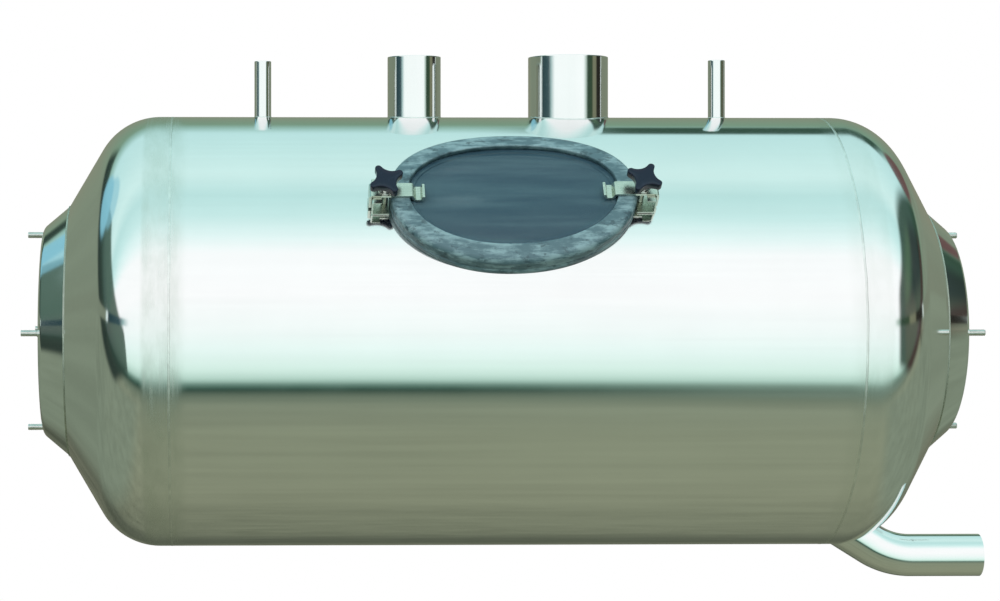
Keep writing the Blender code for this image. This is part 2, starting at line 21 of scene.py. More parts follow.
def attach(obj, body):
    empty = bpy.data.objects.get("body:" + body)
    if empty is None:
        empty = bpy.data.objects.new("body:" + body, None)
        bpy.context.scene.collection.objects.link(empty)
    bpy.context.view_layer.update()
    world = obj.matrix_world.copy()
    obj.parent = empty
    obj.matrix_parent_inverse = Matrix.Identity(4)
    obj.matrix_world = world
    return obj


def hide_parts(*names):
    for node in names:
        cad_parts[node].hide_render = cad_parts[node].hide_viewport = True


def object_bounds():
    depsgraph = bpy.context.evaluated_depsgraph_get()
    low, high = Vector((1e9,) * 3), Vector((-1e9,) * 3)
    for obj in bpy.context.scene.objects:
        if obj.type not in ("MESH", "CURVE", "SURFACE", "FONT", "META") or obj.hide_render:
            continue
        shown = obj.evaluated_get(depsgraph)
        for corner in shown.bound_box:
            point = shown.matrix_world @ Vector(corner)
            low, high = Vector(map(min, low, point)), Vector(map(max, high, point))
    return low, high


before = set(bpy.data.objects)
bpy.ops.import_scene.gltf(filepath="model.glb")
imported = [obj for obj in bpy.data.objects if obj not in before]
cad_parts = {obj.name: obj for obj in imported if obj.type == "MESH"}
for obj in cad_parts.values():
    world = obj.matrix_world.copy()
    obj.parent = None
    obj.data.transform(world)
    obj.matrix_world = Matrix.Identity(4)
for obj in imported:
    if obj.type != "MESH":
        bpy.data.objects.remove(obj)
CAD_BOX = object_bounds()
LOG = logging.getLogger("vessel")

Point = tuple[float, float]
Colour = tuple[float, float, float]

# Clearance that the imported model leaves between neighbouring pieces.
GAP = 0.0003
# Corners of a weld bead's section: share of its height, and share of half its width.
BEAD_SECTION = (
    (-0.6, -1.0), (0.15, -0.95), (0.75, -0.6), (1.0, 0.0), (0.75, 0.6), (0.15, 0.95), (-0.6, 1.0)
)


def tone(red: int, green: int, blue: int) -> Colour:
    """Turn a colour written in display steps of 0 to 255 into linear light.

    Args:
        red: Red.
        green: Green.
        blue: Blue.

    Returns:
        The three channels in linear light.
    """

    def linear(step: int) -> float:
        """Undo the display curve for one channel."""
        share = step / 255
        return share / 12.92 if share <= 0.04045 else ((share + 0.055) / 1.055) ** 2.4

    return linear(red), linear(green), linear(blue)


# ---------------------------------------------------------------- shader graphs


class Signal:
    """A node's output that can be used in Python expressions."""

    def __init__(self, graph: "Graph", socket: bpy.types.NodeSocket) -> None:
        """Keep the graph that grows and the socket that carries the value."""
        self.graph = graph
        self.socket = socket

    def _join(self, operation: str, other: "Signal | float", flipped: bool = False) -> "Signal":
        """Add the node for one operator.

        Args:
            operation: The operation's name on the Math or Vector Math node.
            other: The other operand.
            flipped: True if the other operand comes first.

        Returns:
            The result's signal.
        """
        first, second = (other, self) if flipped else (self, other)
        kind = "ShaderNodeVectorMath" if self.socket.type == "VECTOR" else "ShaderNodeMath"
        return self.graph.add(kind, {"operation": operation}, {0: first, 1: second})

    def __add__(self, other: "Signal | float") -> "Signal":
        """Add."""
        return self._join("ADD", other)

    def __radd__(self, other: "Signal | float") -> "Signal":
        """Add, reflected."""
        return self._join("ADD", other, True)

    def __sub__(self, other: "Signal | float") -> "Signal":
        """Subtract."""
        return self._join("SUBTRACT", other)

    def __rsub__(self, other: "Signal | float") -> "Signal":
        """Subtract, reflected."""
        return self._join("SUBTRACT", other, True)

    def __mul__(self, other: "Signal | float | Sequence[float]") -> "Signal":
        """Multiply."""
        return self._join("MULTIPLY", other)

    def __rmul__(self, other: "Signal | float") -> "Signal":
        """Multiply, reflected."""
        return self._join("MULTIPLY", other, True)

    def __abs__(self) -> "Signal":
        """Absolute value."""
        return self.graph.add("ShaderNodeMath", {"operation": "ABSOLUTE"}, {0: self})

    def rise(self, low: float, high: float) -> "Signal":
        """Smooth step from 0 at low to 1 at high, whichever of the two is larger.

        Args:
            low: The value that gives 0.
            high: The value that gives 1.

        Returns:
            The step, from 0 to 1.
        """
        ends = (low, high, 0.0, 1.0) if low < high else (high, low, 1.0, 0.0)
        values = {0: self, 1: ends[0], 2: ends[1], 3: ends[2], 4: ends[3]}
        return self.graph.add("ShaderNodeMapRange", {"interpolation_type": "SMOOTHSTEP"}, values)

    def between(self, low: float, full_from: float, full_to: float, high: float) -> "Signal":
        """Smooth window: 0 outside low and high, and 1 from full_from to full_to."""
        return self.rise(low, full_from) * self.rise(high, full_to)

    def pick(self, low: "Signal | Colour", high: "Signal | Colour") -> "Signal":
        """Mix two colours by this value: 0 gives low and 1 gives high."""
        values = {0: self, 6: low, 7: high}
        return self.graph.add("ShaderNodeMix", {"data_type": "RGBA"}, values, 2)


class Graph:
    """A node tree with one method that adds any node."""

    def __init__(self, tree: bpy.types.NodeTree) -> None:
        """Keep the tree."""
        self.tree = tree

    def feed(self, socket: bpy.types.NodeSocket, value: "Signal | float | Sequence[float]") -> None:
        """Link a signal to a socket, or set the socket's own value.

        Args:
            socket: The input.
            value: A signal to link, or a value to set.
        """
        if isinstance(value, Signal):
            self.tree.links.new(value.socket, socket)
        elif isinstance(value, (int, float)) and socket.type in {"VECTOR", "RGBA"}:
            socket.default_value = [value] * len(socket.default_value)
        elif isinstance(value, (int, float)):
            socket.default_value = value
        elif socket.type == "RGBA":
            socket.default_value = (*value, 1.0)
        else:
            socket.default_value = value

    def add(
        self,
        kind: str,
        settings: dict[str, object] | None = None,
        values: dict[int | str, object] | None = None,
        output: int | str = 0,
    ) -> Signal:
        """Add a node.

        Args:
            kind: The node's type.
            settings: Its settings; "stops" is a ramp's list of (place, colour).
            values: Values or signals for its inputs.
            output: The output that is wanted.

        Returns:
            The signal of that output.
        """
        node = self.tree.nodes.new(kind)
        for name, setting in (settings or {}).items():
            if name == "stops":
                self._set_stops(node.color_ramp, setting)
            else:
                setattr(node, name, setting)
        for name, value in (values or {}).items():
            self.feed(node.inputs[name], value)
        return Signal(self, node.outputs[output])

    @staticmethod
    def _set_stops(ramp: bpy.types.ColorRamp, stops: Sequence[tuple[float, Colour]]) -> None:
        """Give a ramp its stops, in rising order.

        Args:
            ramp: The ramp.
            stops: Its places and colours.
        """
        while len(ramp.elements) < len(stops):
            ramp.elements.new(1.0)
        for element, (place, colour) in zip(ramp.elements, stops):
            element.position = place
            element.color = (*colour, 1.0)

    def mottle(
        self, place: Signal, scale: float, detail: float = 3.0, rough: float = 0.5
    ) -> Signal:
        """Noise of one value, from about 0 to 1, over a place.

        Args:
            place: The vector that it is read at.
            scale: Features in each unit of that vector.
            detail: Octaves of finer noise.
            rough: Strength of the finer octaves.

        Returns:
            The noise's value.
        """
        values = {"Vector": place, "Scale": scale, "Detail": detail, "Roughness": rough}
        return self.add("ShaderNodeTexNoise", {}, values, "Fac")

    def parts(self, place: Signal) -> tuple[Signal, Signal, Signal]:
        """Split a vector into its three values.

        Args:
            place: The vector.

        Returns:
            Its X, Y and Z.
        """
        split = self.add("ShaderNodeSeparateXYZ", {}, {0: place})
        outputs = split.socket.node.outputs
        return split, Signal(self, outputs[1]), Signal(self, outputs[2])


# ---------------------------------------------------------------- finishes

MADE: dict[str, bpy.types.Material] = {}


@dataclass(frozen=True)
class Finish:
    """A finish: its plain values, which a subclass varies over the surface."""

    name: str
    colour: Colour
    roughness: float
    metallic: float = 0.0
    bump: float = 0.0

    def vary(self, graph: Graph, place: Signal) -> dict[str, Signal]:
        """Return the signals for base colour, roughness and height; none by default."""
        return {}

    def material(self) -> bpy.types.Material:
        """Make the finish's material once, and return it.

        Returns:
            The finish's material.
        """
        if self.name in MADE:
            return MADE[self.name]
        made = bpy.data.materials.new(self.name)
        MADE[self.name] = made
        made.use_nodes = True
        graph = Graph(made.node_tree)
        shader = made.node_tree.nodes["Principled BSDF"]
        shader.inputs["Base Color"].default_value = (*self.colour, 1.0)
        shader.inputs["Roughness"].default_value = self.roughness
        shader.inputs["Metallic"].default_value = self.metallic
        self.settle(shader)
        place = graph.add("ShaderNodeTexCoord", {}, {}, "Object")
        for name, signal in self.vary(graph, place).items():
            if name == "Height":
                signal = graph.add(
                    "ShaderNodeBump", {}, {"Height": signal, "Distance": self.bump, "Strength": 1.0}
                )
                name = "Normal"
            graph.feed(shader.inputs[name], signal)
        return made

    def settle(self, shader: bpy.types.Node) -> None:
        """Set values of the shader that are the same all over; none by default."""


@dataclass(frozen=True)
class MirrorSteel(Finish):
    """Polished sheet: faint grain, cloudy haze, and ground bands beside the seams."""

    grain: tuple[float, float, float] = (3.0, 160.0, 160.0)
    seams: tuple[tuple[float, int, float], ...] = ()
    ground_colour: Colour = (0.66, 0.70, 0.67)

    def vary(self, graph: Graph, place: Signal) -> dict[str, Signal]:
        """Roughness and height from grain, haze and the ground bands beside the seams.

        Args:
            graph: The node tree.
            place: The point on the surface.

        Returns:
            Signals by the names of the shader's sockets, and the height.
        """
        haze = graph.mottle(place, 9.0, 4.0, 0.6)
        grain = graph.mottle(place * self.grain, 1.0, 3.0, 0.6)
        rough = self.roughness + haze.rise(0.35, 0.75) * 0.03 + grain * 0.02
        height = haze * 0.6 + grain * 0.4
        hazed = tuple(0.95 * part for part in self.colour)
        colour = height.rise(0.3, 0.8).pick(hazed, self.colour)
        if self.seams:
            along = graph.parts(place)[0]
            ring = graph.mottle(place * (950.0, 14.0, 14.0), 1.0, 2.0, 0.6)
            blotch = graph.mottle(place * (60.0, 25.0, 25.0), 1.0, 3.0, 0.65)
            ground: Signal | float = 0.0
            for seam, side, strength in self.seams:
                past = (along - seam) * float(side)
                ground = past.between(-0.018, -0.003, 0.022, 0.027) * strength + ground
            marks = ground * ring.rise(0.35, 0.7)
            rough = rough + ground * 0.09 + marks * 0.07 + ground * blotch.rise(0.4, 0.7) * 0.06
            height = height + marks * 0.5
            dull = ground * (blotch.rise(0.3, 0.7) * 0.5 + 0.3)
            colour = dull.pick(colour, self.ground_colour)
        return {"Base Color": colour, "Roughness": rough, "Height": height}


@dataclass(frozen=True)
class SatinSteel(Finish):
    """Brushed clamp steel: short grain lines with duller patches."""

    grain: tuple[float, float, float] = (60.0, 900.0, 900.0)

    def vary(self, graph: Graph, place: Signal) -> dict[str, Signal]:
        """Colour, roughness and height from grain lines and patches.

        Args:
            graph: The node tree.
            place: The point on the surface.

        Returns:
            Signals by the names of the shader's sockets, and the height.
        """
        grain = graph.mottle(place * self.grain, 1.0, 2.0, 0.6)
        patch = graph.mottle(place, 120.0, 3.0, 0.6)
        dulled = tuple(0.78 * part for part in self.colour)
        colour = (grain * 0.5 + patch * 0.5).rise(0.3, 0.75).pick(dulled, self.colour)
        rough = self.roughness + grain * 0.10 + patch.rise(0.45, 0.8) * 0.10
        return {"Base Color": colour, "Roughness": rough, "Height": grain}


@dataclass(frozen=True)
class WeldSteel(Finish):
    """Weld metal: rippled, with grey heat tint in paler patches."""

    def vary(self, graph: Graph, place: Signal) -> dict[str, Signal]:
        """Colour, roughness and height from ripples and heat tint.

        Args:
            graph: The node tree.
            place: The point on the surface.

        Returns:
            Signals by the names of the shader's sockets, and the height.
        """
        ripple = graph.mottle(place, 420.0, 2.0, 0.55)
        tint = graph.mottle(place, 90.0, 3.0, 0.6)
        bright = tuple(1.18 * part for part in self.colour)
        colour = tint.rise(0.35, 0.7).pick(self.colour, bright)
        rough = self.roughness + ripple * 0.18
        return {"Base Color": colour, "Roughness": rough, "Height": ripple}


@dataclass(frozen=True)
class SealRubber(Finish):
    """Grey rubber with a cloudy bloom and dark scuffs."""

    bloomed: Colour = (0.200, 0.315, 0.345)
    scuffed: Colour = (0.026, 0.056, 0.070)

    def vary(self, graph: Graph, place: Signal) -> dict[str, Signal]:
        """Colour, roughness and height from bloom, scuffs and fine pores.

        Args:
            graph: The node tree.
            place: The point on the surface.

        Returns:
            Signals by the names of the shader's sockets, and the height.
        """
        bloom = graph.mottle(place * (34.0, 62.0, 62.0), 1.0, 5.0, 0.66)
        streak = graph.mottle(place * (45.0, 260.0, 260.0), 1.0, 4.0, 0.65)
        scuff = graph.mottle(place * (90.0, 150.0, 150.0), 1.0, 4.0, 0.65)
        pores = graph.mottle(place, 1400.0, 1.0)
        pale = (bloom * 0.6 + streak * 0.4).rise(0.44, 0.60).pick(self.colour, self.bloomed)
        colour = (scuff.rise(0.55, 0.66) * 0.75).pick(pale, self.scuffed)
        rough = self.roughness + bloom.rise(0.4, 0.8) * 0.15
        height = pores * 0.2 + bloom + scuff * 0.4
        return {"Base Color": colour, "Roughness": rough, "Height": height}


@dataclass(frozen=True)
class SmokedLid(Finish):
    """Clear plastic with a grey-blue tint, lightly wiped and dusty."""

    clear: float = 0.66
    dusty: Colour = (0.100, 0.190, 0.225)

    def settle(self, shader: bpy.types.Node) -> None:
        """Set how clear the lid is."""
        shader.inputs["Alpha"].default_value = self.clear
        shader.inputs["IOR"].default_value = 1.5

    def vary(self, graph: Graph, place: Signal) -> dict[str, Signal]:
        """Colour and roughness from wipe marks and dust.

        Args:
            graph: The node tree.
            place: The point on the surface.

        Returns:
            Signals by the names of the shader's sockets, and the height.
        """
        wipe = graph.mottle(place * (7.0, 90.0, 90.0), 1.0, 4.0, 0.6)
        dust = graph.mottle(place, 900.0, 2.0, 0.7)
        specks = dust.rise(0.74, 0.84) * 0.06
        colour = (wipe.rise(0.38, 0.66) * 0.45 + specks).pick(self.colour, self.dusty)
        rough = self.roughness + wipe * 0.04
        return {"Base Color": colour, "Roughness": rough}


@dataclass(frozen=True)
class KnobPlastic(Finish):
    """Moulded black plastic with a fine orange-peel skin and paler worn spots."""

    shine: float = 0.30
    worn: Colour = (0.014, 0.022, 0.044)

    def settle(self, shader: bpy.types.Node) -> None:
        """Keep the plastic's shine low."""
        shader.inputs["Specular IOR Level"].default_value = self.shine

    def vary(self, graph: Graph, place: Signal) -> dict[str, Signal]:
        """Colour, roughness and height from the skin and wear.

        Args:
            graph: The node tree.
            place: The point on the surface.

        Returns:
            Signals by the names of the shader's sockets, and the height.
        """
        skin = graph.mottle(place, 1500.0, 2.0, 0.5)
        wear = graph.mottle(place, 260.0, 3.0, 0.6)
        colour = (wear.rise(0.55, 0.8) * 0.6).pick(self.colour, self.worn)
        rough = self.roughness + wear * 0.08
        return {"Base Color": colour, "Roughness": rough, "Height": skin}


MIRROR = (0.84, 0.86, 0.86)
PIPE_STEEL = MirrorSteel("pipe_steel", MIRROR, 0.06, 1.0, 0.00001, grain=(220.0, 220.0, 12.0))
OUTLET_STEEL = MirrorSteel("outlet_steel", MIRROR, 0.06, 1.0, 0.00001, grain=(20.0, 180.0, 180.0))
STUD_STEEL = SatinSteel("stud_steel", (0.84, 0.86, 0.83), 0.16, 1.0, 0.000002)
CLAMP_STEEL = SatinSteel("brushed_clamp", (0.68, 0.72, 0.64), 0.20, 1.0, 0.000004)
WELD = WeldSteel("weld_steel", (0.68, 0.71, 0.69), 0.22, 1.0, 0.00002)
RUBBER = SealRubber("bloomed_rubber", (0.066, 0.130, 0.155), 0.40, 0.0, 0.00006)
DULL_WELD = WeldSteel("dull_weld", (0.42, 0.46, 0.40), 0.45, 1.0, 0.00002)
LID = SmokedLid("smoked_plastic", (0.040, 0.092, 0.130), 0.06)
KNOB = KnobPlastic("moulded_knob", (0.006, 0.011, 0.027), 0.13, 0.0, 0.000004)


class Slot(Enum):
    """The record's material slots."""

    STEEL = "polished_steel"
    CLAMP = "clamp_steel"
    RUBBER = "seal_rubber"
    LID = "lid_clear"
    KNOB = "knob_black"


# ---------------------------------------------------------------- mesh helpers


def arc(centre: Point, radius: float, start: float, end: float, steps: int) -> list[Point]:
    """Points along an arc, both ends included.

    Args:
        centre: The arc's centre.
        radius: Its radius.
        start: Start angle in radians.
        end: End angle in radians.
        steps: Number of steps.

    Returns:
        The points.
    """
    turns = [start + (end - start) * i / steps for i in range(steps + 1)]
    return [(centre[0] + radius * math.cos(t), centre[1] + radius * math.sin(t)) for t in turns]


def round_turns(count: int) -> list[float]:
    """Angles of even steps round a circle."""
    return [2 * math.pi * i / count for i in range(count)]


def round_ring(
    point: Vector, way: Vector, side: Vector, radius: float, count: int
) -> list[Vector]:
    """Points of a circle about a point, square to a way, from a side.

    Args:
        point: The circle's centre.
        way: The circle's axis.
        side: Way to the first point, square to the axis.
        radius: Its radius.
        count: Number of points.

    Returns:
        The points.
    """
    across = way.cross(side)
    turns = round_turns(count)
    return [point + (side * math.cos(t) + across * math.sin(t)) * radius for t in turns]


def skin(
    name: str,
    rings: Sequence[Sequence[Vector]],
    wrap: bool = False,
    caps: bool = False,
    sharp: float = 34.0,
) -> bpy.types.Mesh:
    """Join rings of equal length into a smooth mesh.

    Args:
        name: The mesh's name.
        rings: The rings, each closed on itself.
        wrap: True joins the last ring to the first.
        caps: True closes the first and last ring with a face.
        sharp: Edges sharper than this many degrees stay sharp.

    Returns:
        The mesh, with its faces facing out.
    """
    shape = bmesh.new()
    rows = [[shape.verts.new(point) for point in ring] for ring in rings]
    pairs = list(zip(rows, rows[1:]))
    if wrap:
        pairs.append((rows[-1], rows[0]))
    for row, following in pairs:
        count = len(row)
        for i in range(count):
            j = (i + 1) % count
            shape.faces.new((row[i], row[j], following[j], following[i]))
    if caps:
        shape.faces.new(rows[0])
        shape.faces.new(rows[-1])
    bmesh.ops.remove_doubles(shape, verts=shape.verts, dist=1e-7)
    bmesh.ops.recalc_face_normals(shape, faces=shape.faces)
    mesh = bpy.data.meshes.new(name)
    shape.to_mesh(mesh)
    shape.free()
    smooth(mesh, sharp)
    return mesh


def smooth(mesh: bpy.types.Mesh, sharp: float = 34.0) -> None:
    """Shade a mesh smooth but for its sharp edges, given in degrees."""
    mesh.shade_smooth()
    mesh.set_sharp_from_angle(angle=math.radians(sharp))


def lathe(
    name: str,
    profile: Sequence[Point],
    place: Matrix,
    count: int,
    wrap: bool = True,
    caps: bool = False,
) -> bpy.types.Mesh:
    """Turn a profile of (radius, height) points about a frame's Z axis.

    Args:
        name: The mesh's name.
        profile: The points of the profile.
        place: The frame that the piece is turned in.
        count: Number of facets round.
        wrap: True if the profile closes on itself.
        caps: True closes the ends of an open profile.

    Returns:
        The mesh, in the model's frame.
    """
    turns = round_turns(count)
    rings = [
        [place @ Vector((radius * math.cos(t), radius * math.sin(t), height)) for t in turns]
        for radius, height in profile
    ]
    return skin(name, rings, wrap, caps)


def sweep(
    name: str, path: Sequence[Vector], radii: Sequence[float], count: int, loop: bool = False
) -> bpy.types.Mesh:
    """Sweep a round section along a path.

    Args:
        name: The mesh's name.
        path: Points of the path.
        radii: The section's radius at each point.
        count: Number of facets round.
        loop: True if the path closes on itself.

    Returns:
        The mesh, closed at its ends.
    """
    size = len(path)
    ahead = [(path[(i + 1) % size] - path[i - 1]).normalized() for i in range(size)]
    if not loop:
        ahead[0] = (path[1] - path[0]).normalized()
        ahead[-1] = (path[-1] - path[-2]).normalized()
    side = ahead[0].orthogonal().normalized()
    fixed = sum((a.cross(b) for a, b in zip(path, path[1:])), Vector()).normalized()
    rings = []
    for point, way, radius in zip(path, ahead, radii):
        side = fixed if loop else side
        side = (side - way * side.dot(way)).normalized()
        rings.append(round_ring(point, way, side, radius, count))
    return skin(name, rings, wrap=loop, caps=not loop, sharp=60.0)


def set_out(name: str, data: bpy.types.ID) -> bpy.types.Object:
    """Make an object and link it to the scene.

    Args:
        name: The object's name.
        data: Its mesh, light or camera.

    Returns:
        The object.
    """
    made = bpy.data.objects.new(name, data)
    bpy.context.scene.collection.objects.link(made)
    return made


def carve(mesh: bpy.types.Mesh, cutters: Sequence[bpy.types.Mesh]) -> bpy.types.Mesh:
    """Cut meshes out of a mesh by exact Booleans and return the result.

    Args:
        mesh: The mesh.
        cutters: What is cut out of it.

    Returns:
        The cut mesh, with the same name.
    """
    solid = set_out(mesh.name, mesh)
    tools = []
    for cutter in cutters:
        tool = set_out(cutter.name, cutter)
        boolean = solid.modifiers.new(cutter.name, "BOOLEAN")
        boolean.operation = "DIFFERENCE"
        boolean.solver = "EXACT"
        boolean.object = tool
        tools.append(tool)
    graph = bpy.context.evaluated_depsgraph_get()
    result = bpy.data.meshes.new_from_object(solid.evaluated_get(graph))
    for used in [solid, *tools]:
        bpy.data.objects.remove(used, do_unlink=True)
    result.name = mesh.name
    return result


def keep_inside(mesh: bpy.types.Mesh) -> None:
    """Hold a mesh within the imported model's box.

    Args:
        mesh: The mesh, in the model's frame.
    """
    low, high = CAD_BOX
    for vertex in mesh.vertices:
        vertex.co = [min(max(c, a), b) for c, a, b in zip(vertex.co, low, high)]


def install(
    mesh: bpy.types.Mesh,
    finish: Finish,
    stands_for: Sequence[str] = (),
    body: str = "vessel",
) -> bpy.types.Object:
    """Make a mesh a piece of the vessel.

    Args:
        mesh: The mesh, in the model's frame; its name becomes the piece's name.
        finish: Its finish.
        stands_for: The CAD nodes that it replaces.
        body: The body that it rides on.

    Returns:
        The object.
    """
    mesh.materials.clear()
    mesh.materials.append(finish.material())
    made = set_out(mesh.name, mesh)
    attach(made, body)
    if stands_for:
        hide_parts(*stands_for)
    LOG.info("%s rides on %s", made.name, body)
    return made


def dress(node: str, finish: Finish) -> None:
    """Give a CAD node that stays a better finish.

    Args:
        node: The node's name.
        finish: Its finish.
    """
    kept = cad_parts[node]
    kept.data.materials.clear()
    kept.data.materials.append(finish.material())


# ---------------------------------------------------------------- the vessel


@dataclass
class Shell:
    """Barrel, coned ends, end pans and the weld beads that join them."""

    radius: float = 0.204
    sheet: float = 0.002
    length: float = 0.616
    flange: float = 0.011
    knuckle: float = 0.063
    lean: float = math.radians(30.6)
    rim: float = 0.1190
    pan_depth: float = 0.0250
    pan_lean: float = math.radians(40.0)
    pan_fillet: float = 0.010
    facets: int = 288
    pan_facets: int = 192
    bead_facets: int = 900
    stations: int = 44
    inner_stations: int = 8

    @property
    def seam(self) -> float:
        """Distance of each seam from mid-barrel."""
        return self.length / 2

    @property
    def cone_start(self) -> Point:
        """Radius and distance at which the knuckle meets the cone.

        Returns:
            The radius and the distance from mid-barrel.
        """
        return (
            self.radius - self.knuckle * (1 - math.sin(self.lean)),
            self.seam + self.flange + self.knuckle * math.cos(self.lean),
        )

    @property
    def rim_x(self) -> float:
        """Distance of the pan's rim from mid-barrel."""
        radius, start = self.cone_start
        return start + (radius - self.rim) * math.tan(self.lean)

    @property
    def half(self) -> float:
        """Distance of each pan's face from mid-barrel."""
        return self.rim_x + self.pan_depth

    @property
    def centre(self) -> Vector:
        """The vessel's middle."""
        return Vector((self.half, 0.0, 0.0))

    def end_place(self, side: int) -> Matrix:
        """Frame at mid-vessel whose Z points out through the left (-1) or right (1) end."""
        return Matrix.Translation(self.centre) @ Matrix.Rotation(side * math.pi / 2, 4, "Y")

    def end_line(self, grow: float = 0.0) -> list[Point]:
        """Line of a coned end from rim to seam, moved inwards by grow.

        Args:
            grow: How far inside the outer face the line lies.

        Returns:
            Points of radius and distance from mid-barrel.
        """
        centre = (self.radius - self.knuckle, self.seam + self.flange)
        bend = arc(centre, self.knuckle - grow, math.pi / 2 - self.lean, 0.0, 28)
        rim = (self.rim - grow / math.sin(self.lean), self.rim_x)
        run = (bend[0][0] - rim[0], bend[0][1] - rim[1])
        ease = [(rim[0] + run[0] * share, rim[1] + run[1] * share) for share in (0.04, 0.96)]
        return [rim, *ease, *bend, (self.radius - grow, self.seam)]

    def pan_line(self, grow: float = 0.0) -> list[Point]:
        """Line of an end pan from its centre to its rim, moved inwards by grow.

        Args:
            grow: How far inside the outer face the line lies.

        Returns:
            Points of radius and distance from mid-barrel.
        """
        half_turn = (math.pi / 2 - self.pan_lean) / 2
        corner = self.rim - self.pan_depth * math.tan(self.pan_lean)
        centre = (corner - self.pan_fillet * math.tan(half_turn), self.half - self.pan_fillet)
        fillet = arc(centre, self.pan_fillet - grow, math.pi / 2, self.pan_lean, 14)
        foot = self.rim_x + GAP
        reach = (fillet[-1][1] - foot) / math.cos(self.pan_lean)
        rim = (fillet[-1][0] + math.sin(self.pan_lean) * reach, foot)
        inner = fillet[0][0] * 0.96
        return [(0.0, self.half - grow), (inner, self.half - grow), *fillet, rim]

    def bead(
        self,
        name: str,
        side: int,
        radius: float,
        x: float,
        width: float,
        height: float,
        finish: Finish,
    ) -> None:
        """Install a weld bead round the axis.

        Args:
            name: The piece's name.
            side: The end that it is on, -1 or 1.
            radius: Radius of the surface under it.
            x: Distance from mid-barrel.
            width: The bead's width.
            height: The bead's height above the surface.
            finish: The bead's finish.
        """
        place = self.end_place(side)
        rings = []
        for radial, along in BEAD_SECTION:
            ring = []
            for turn in round_turns(self.bead_facets):
                cosine, sine = math.cos(turn), math.sin(turn)
                spot = Vector((cosine, sine, 0.0)) * radius
                swell = 1.0 + 0.25 * noise.noise(spot * 260.0 + Vector((0.0, 0.0, side)))
                drift = 0.12 * width * noise.noise(spot * 70.0 + Vector((3.0, 0.0, side)))
                reach = radius + height * radial * swell
                far = x + along * width / 2 + drift
                ring.append(place @ Vector((cosine * reach, sine * reach, far)))
            rings.append(ring)
        mesh = skin(name, rings, wrap=True, sharp=70.0)
        keep_inside(mesh)
        install(mesh, finish)

    def true_normals(self, mesh: bpy.types.Mesh) -> None:
        """Give the barrel's two round faces the normals of true cylinders.

        Args:
            mesh: The barrel's mesh.
        """
        normals = []
        slack = 2e-5
        for face in mesh.polygons:
            spokes = [Vector((0.0, *mesh.vertices[i].co.yz)) for i in face.vertices]
            reach = [spoke.length for spoke in spokes]
            if all(abs(r - self.radius) < slack for r in reach):
                normals += [spoke.normalized() for spoke in spokes]
            elif all(abs(r - self.radius + self.sheet) < slack for r in reach):
                normals += [-spoke.normalized() for spoke in spokes]
            else:
                normals += [face.normal.copy() for _ in spokes]
        mesh.normals_split_custom_set(normals)

    def build(self, holes: Sequence[bpy.types.Mesh], drain: bpy.types.Mesh) -> None:
        """Build the shell.

        Args:
            holes: Cutters for the hand hole and the pipes' holes.
            drain: Cutter for the outlet's hole.
        """
        reach = self.seam - GAP
        inner = self.radius - self.sheet
        steps = self.stations
        profile = [(self.radius, -reach + 2 * reach * i / steps) for i in range(steps + 1)]
        steps = self.inner_stations
        profile += [(inner, reach - 2 * reach * i / steps) for i in range(steps + 1)]
        barrel = carve(lathe("barrel_sheet", profile, self.end_place(1), self.facets), holes)
        smooth(barrel)
        self.true_normals(barrel)
        steel = MirrorSteel(
            "barrel_steel",
            MIRROR,
            0.065,
            1.0,
            0.000010,
            seams=((self.half - self.seam, -1, 1.0), (self.half + self.seam, 1, 0.4)),
        )
        install(barrel, steel, ["barrel"])
        for side, word in ((-1, "left"), (1, "right")):
            line = self.end_line() + self.end_line(self.sheet)[::-1]
            end = lathe(word + "_cone", line, self.end_place(side), self.facets)
            if side > 0:
                end = carve(end, [drain])
                smooth(end)
            install(end, steel, [word + "_end"])
            line = self.pan_line() + self.pan_line(self.sheet)[::-1]
            pan = lathe(word + "_pan", line, self.end_place(side), self.pan_facets, wrap=False)
            install(pan, steel, [word + "_end_pan"])
            self.bead(word + "_seam_weld", side, self.radius, self.seam, 0.0022, 0.00012, WELD)
            spot = (self.rim + 0.0002, self.rim_x + 0.0002)
            self.bead(word + "_pan_weld", side, *spot, 0.0012, 0.00022, DULL_WELD)


@dataclass
class ThreadedStud:
    """A rod with a helical thread."""

    radius: float = 0.003
    pitch: float = 0.001
    depth: float = 0.00042
    tip: float = 0.0007
    facets: int = 28
    turn_stations: int = 6

    def mesh(self, name: str, place: Matrix, bottom: float, top: float) -> bpy.types.Mesh:
        """Build the rod.

        Args:
            name: The mesh's name.
            place: Frame whose Z is the rod's axis.
            bottom: Height of the rod's foot.
            top: Height of its tip.

        Returns:
            The mesh.
        """
        fewest = self.turn_stations
        steps = max(int((top - bottom) / self.pitch * fewest), fewest)
        rings = []
        for k in range(steps + 1):
            height = bottom + (top - bottom) * k / steps
            fade = min(1.0, (top - height) / self.tip)
            ring = []
            for i in range(self.facets):
                share = i / self.facets
                phase = ((height - bottom) / self.pitch - share) % 1.0
                root = self.depth * abs(2 * phase - 1)
                reach = self.radius - max(root, self.depth * 1.1 * (1 - fade))
                turn = 2 * math.pi * share
                spot = Vector((math.cos(turn) * reach, math.sin(turn) * reach, height))
                ring.append(place @ spot)
            rings.append(ring)
        return skin(name, rings, caps=True, sharp=50.0)


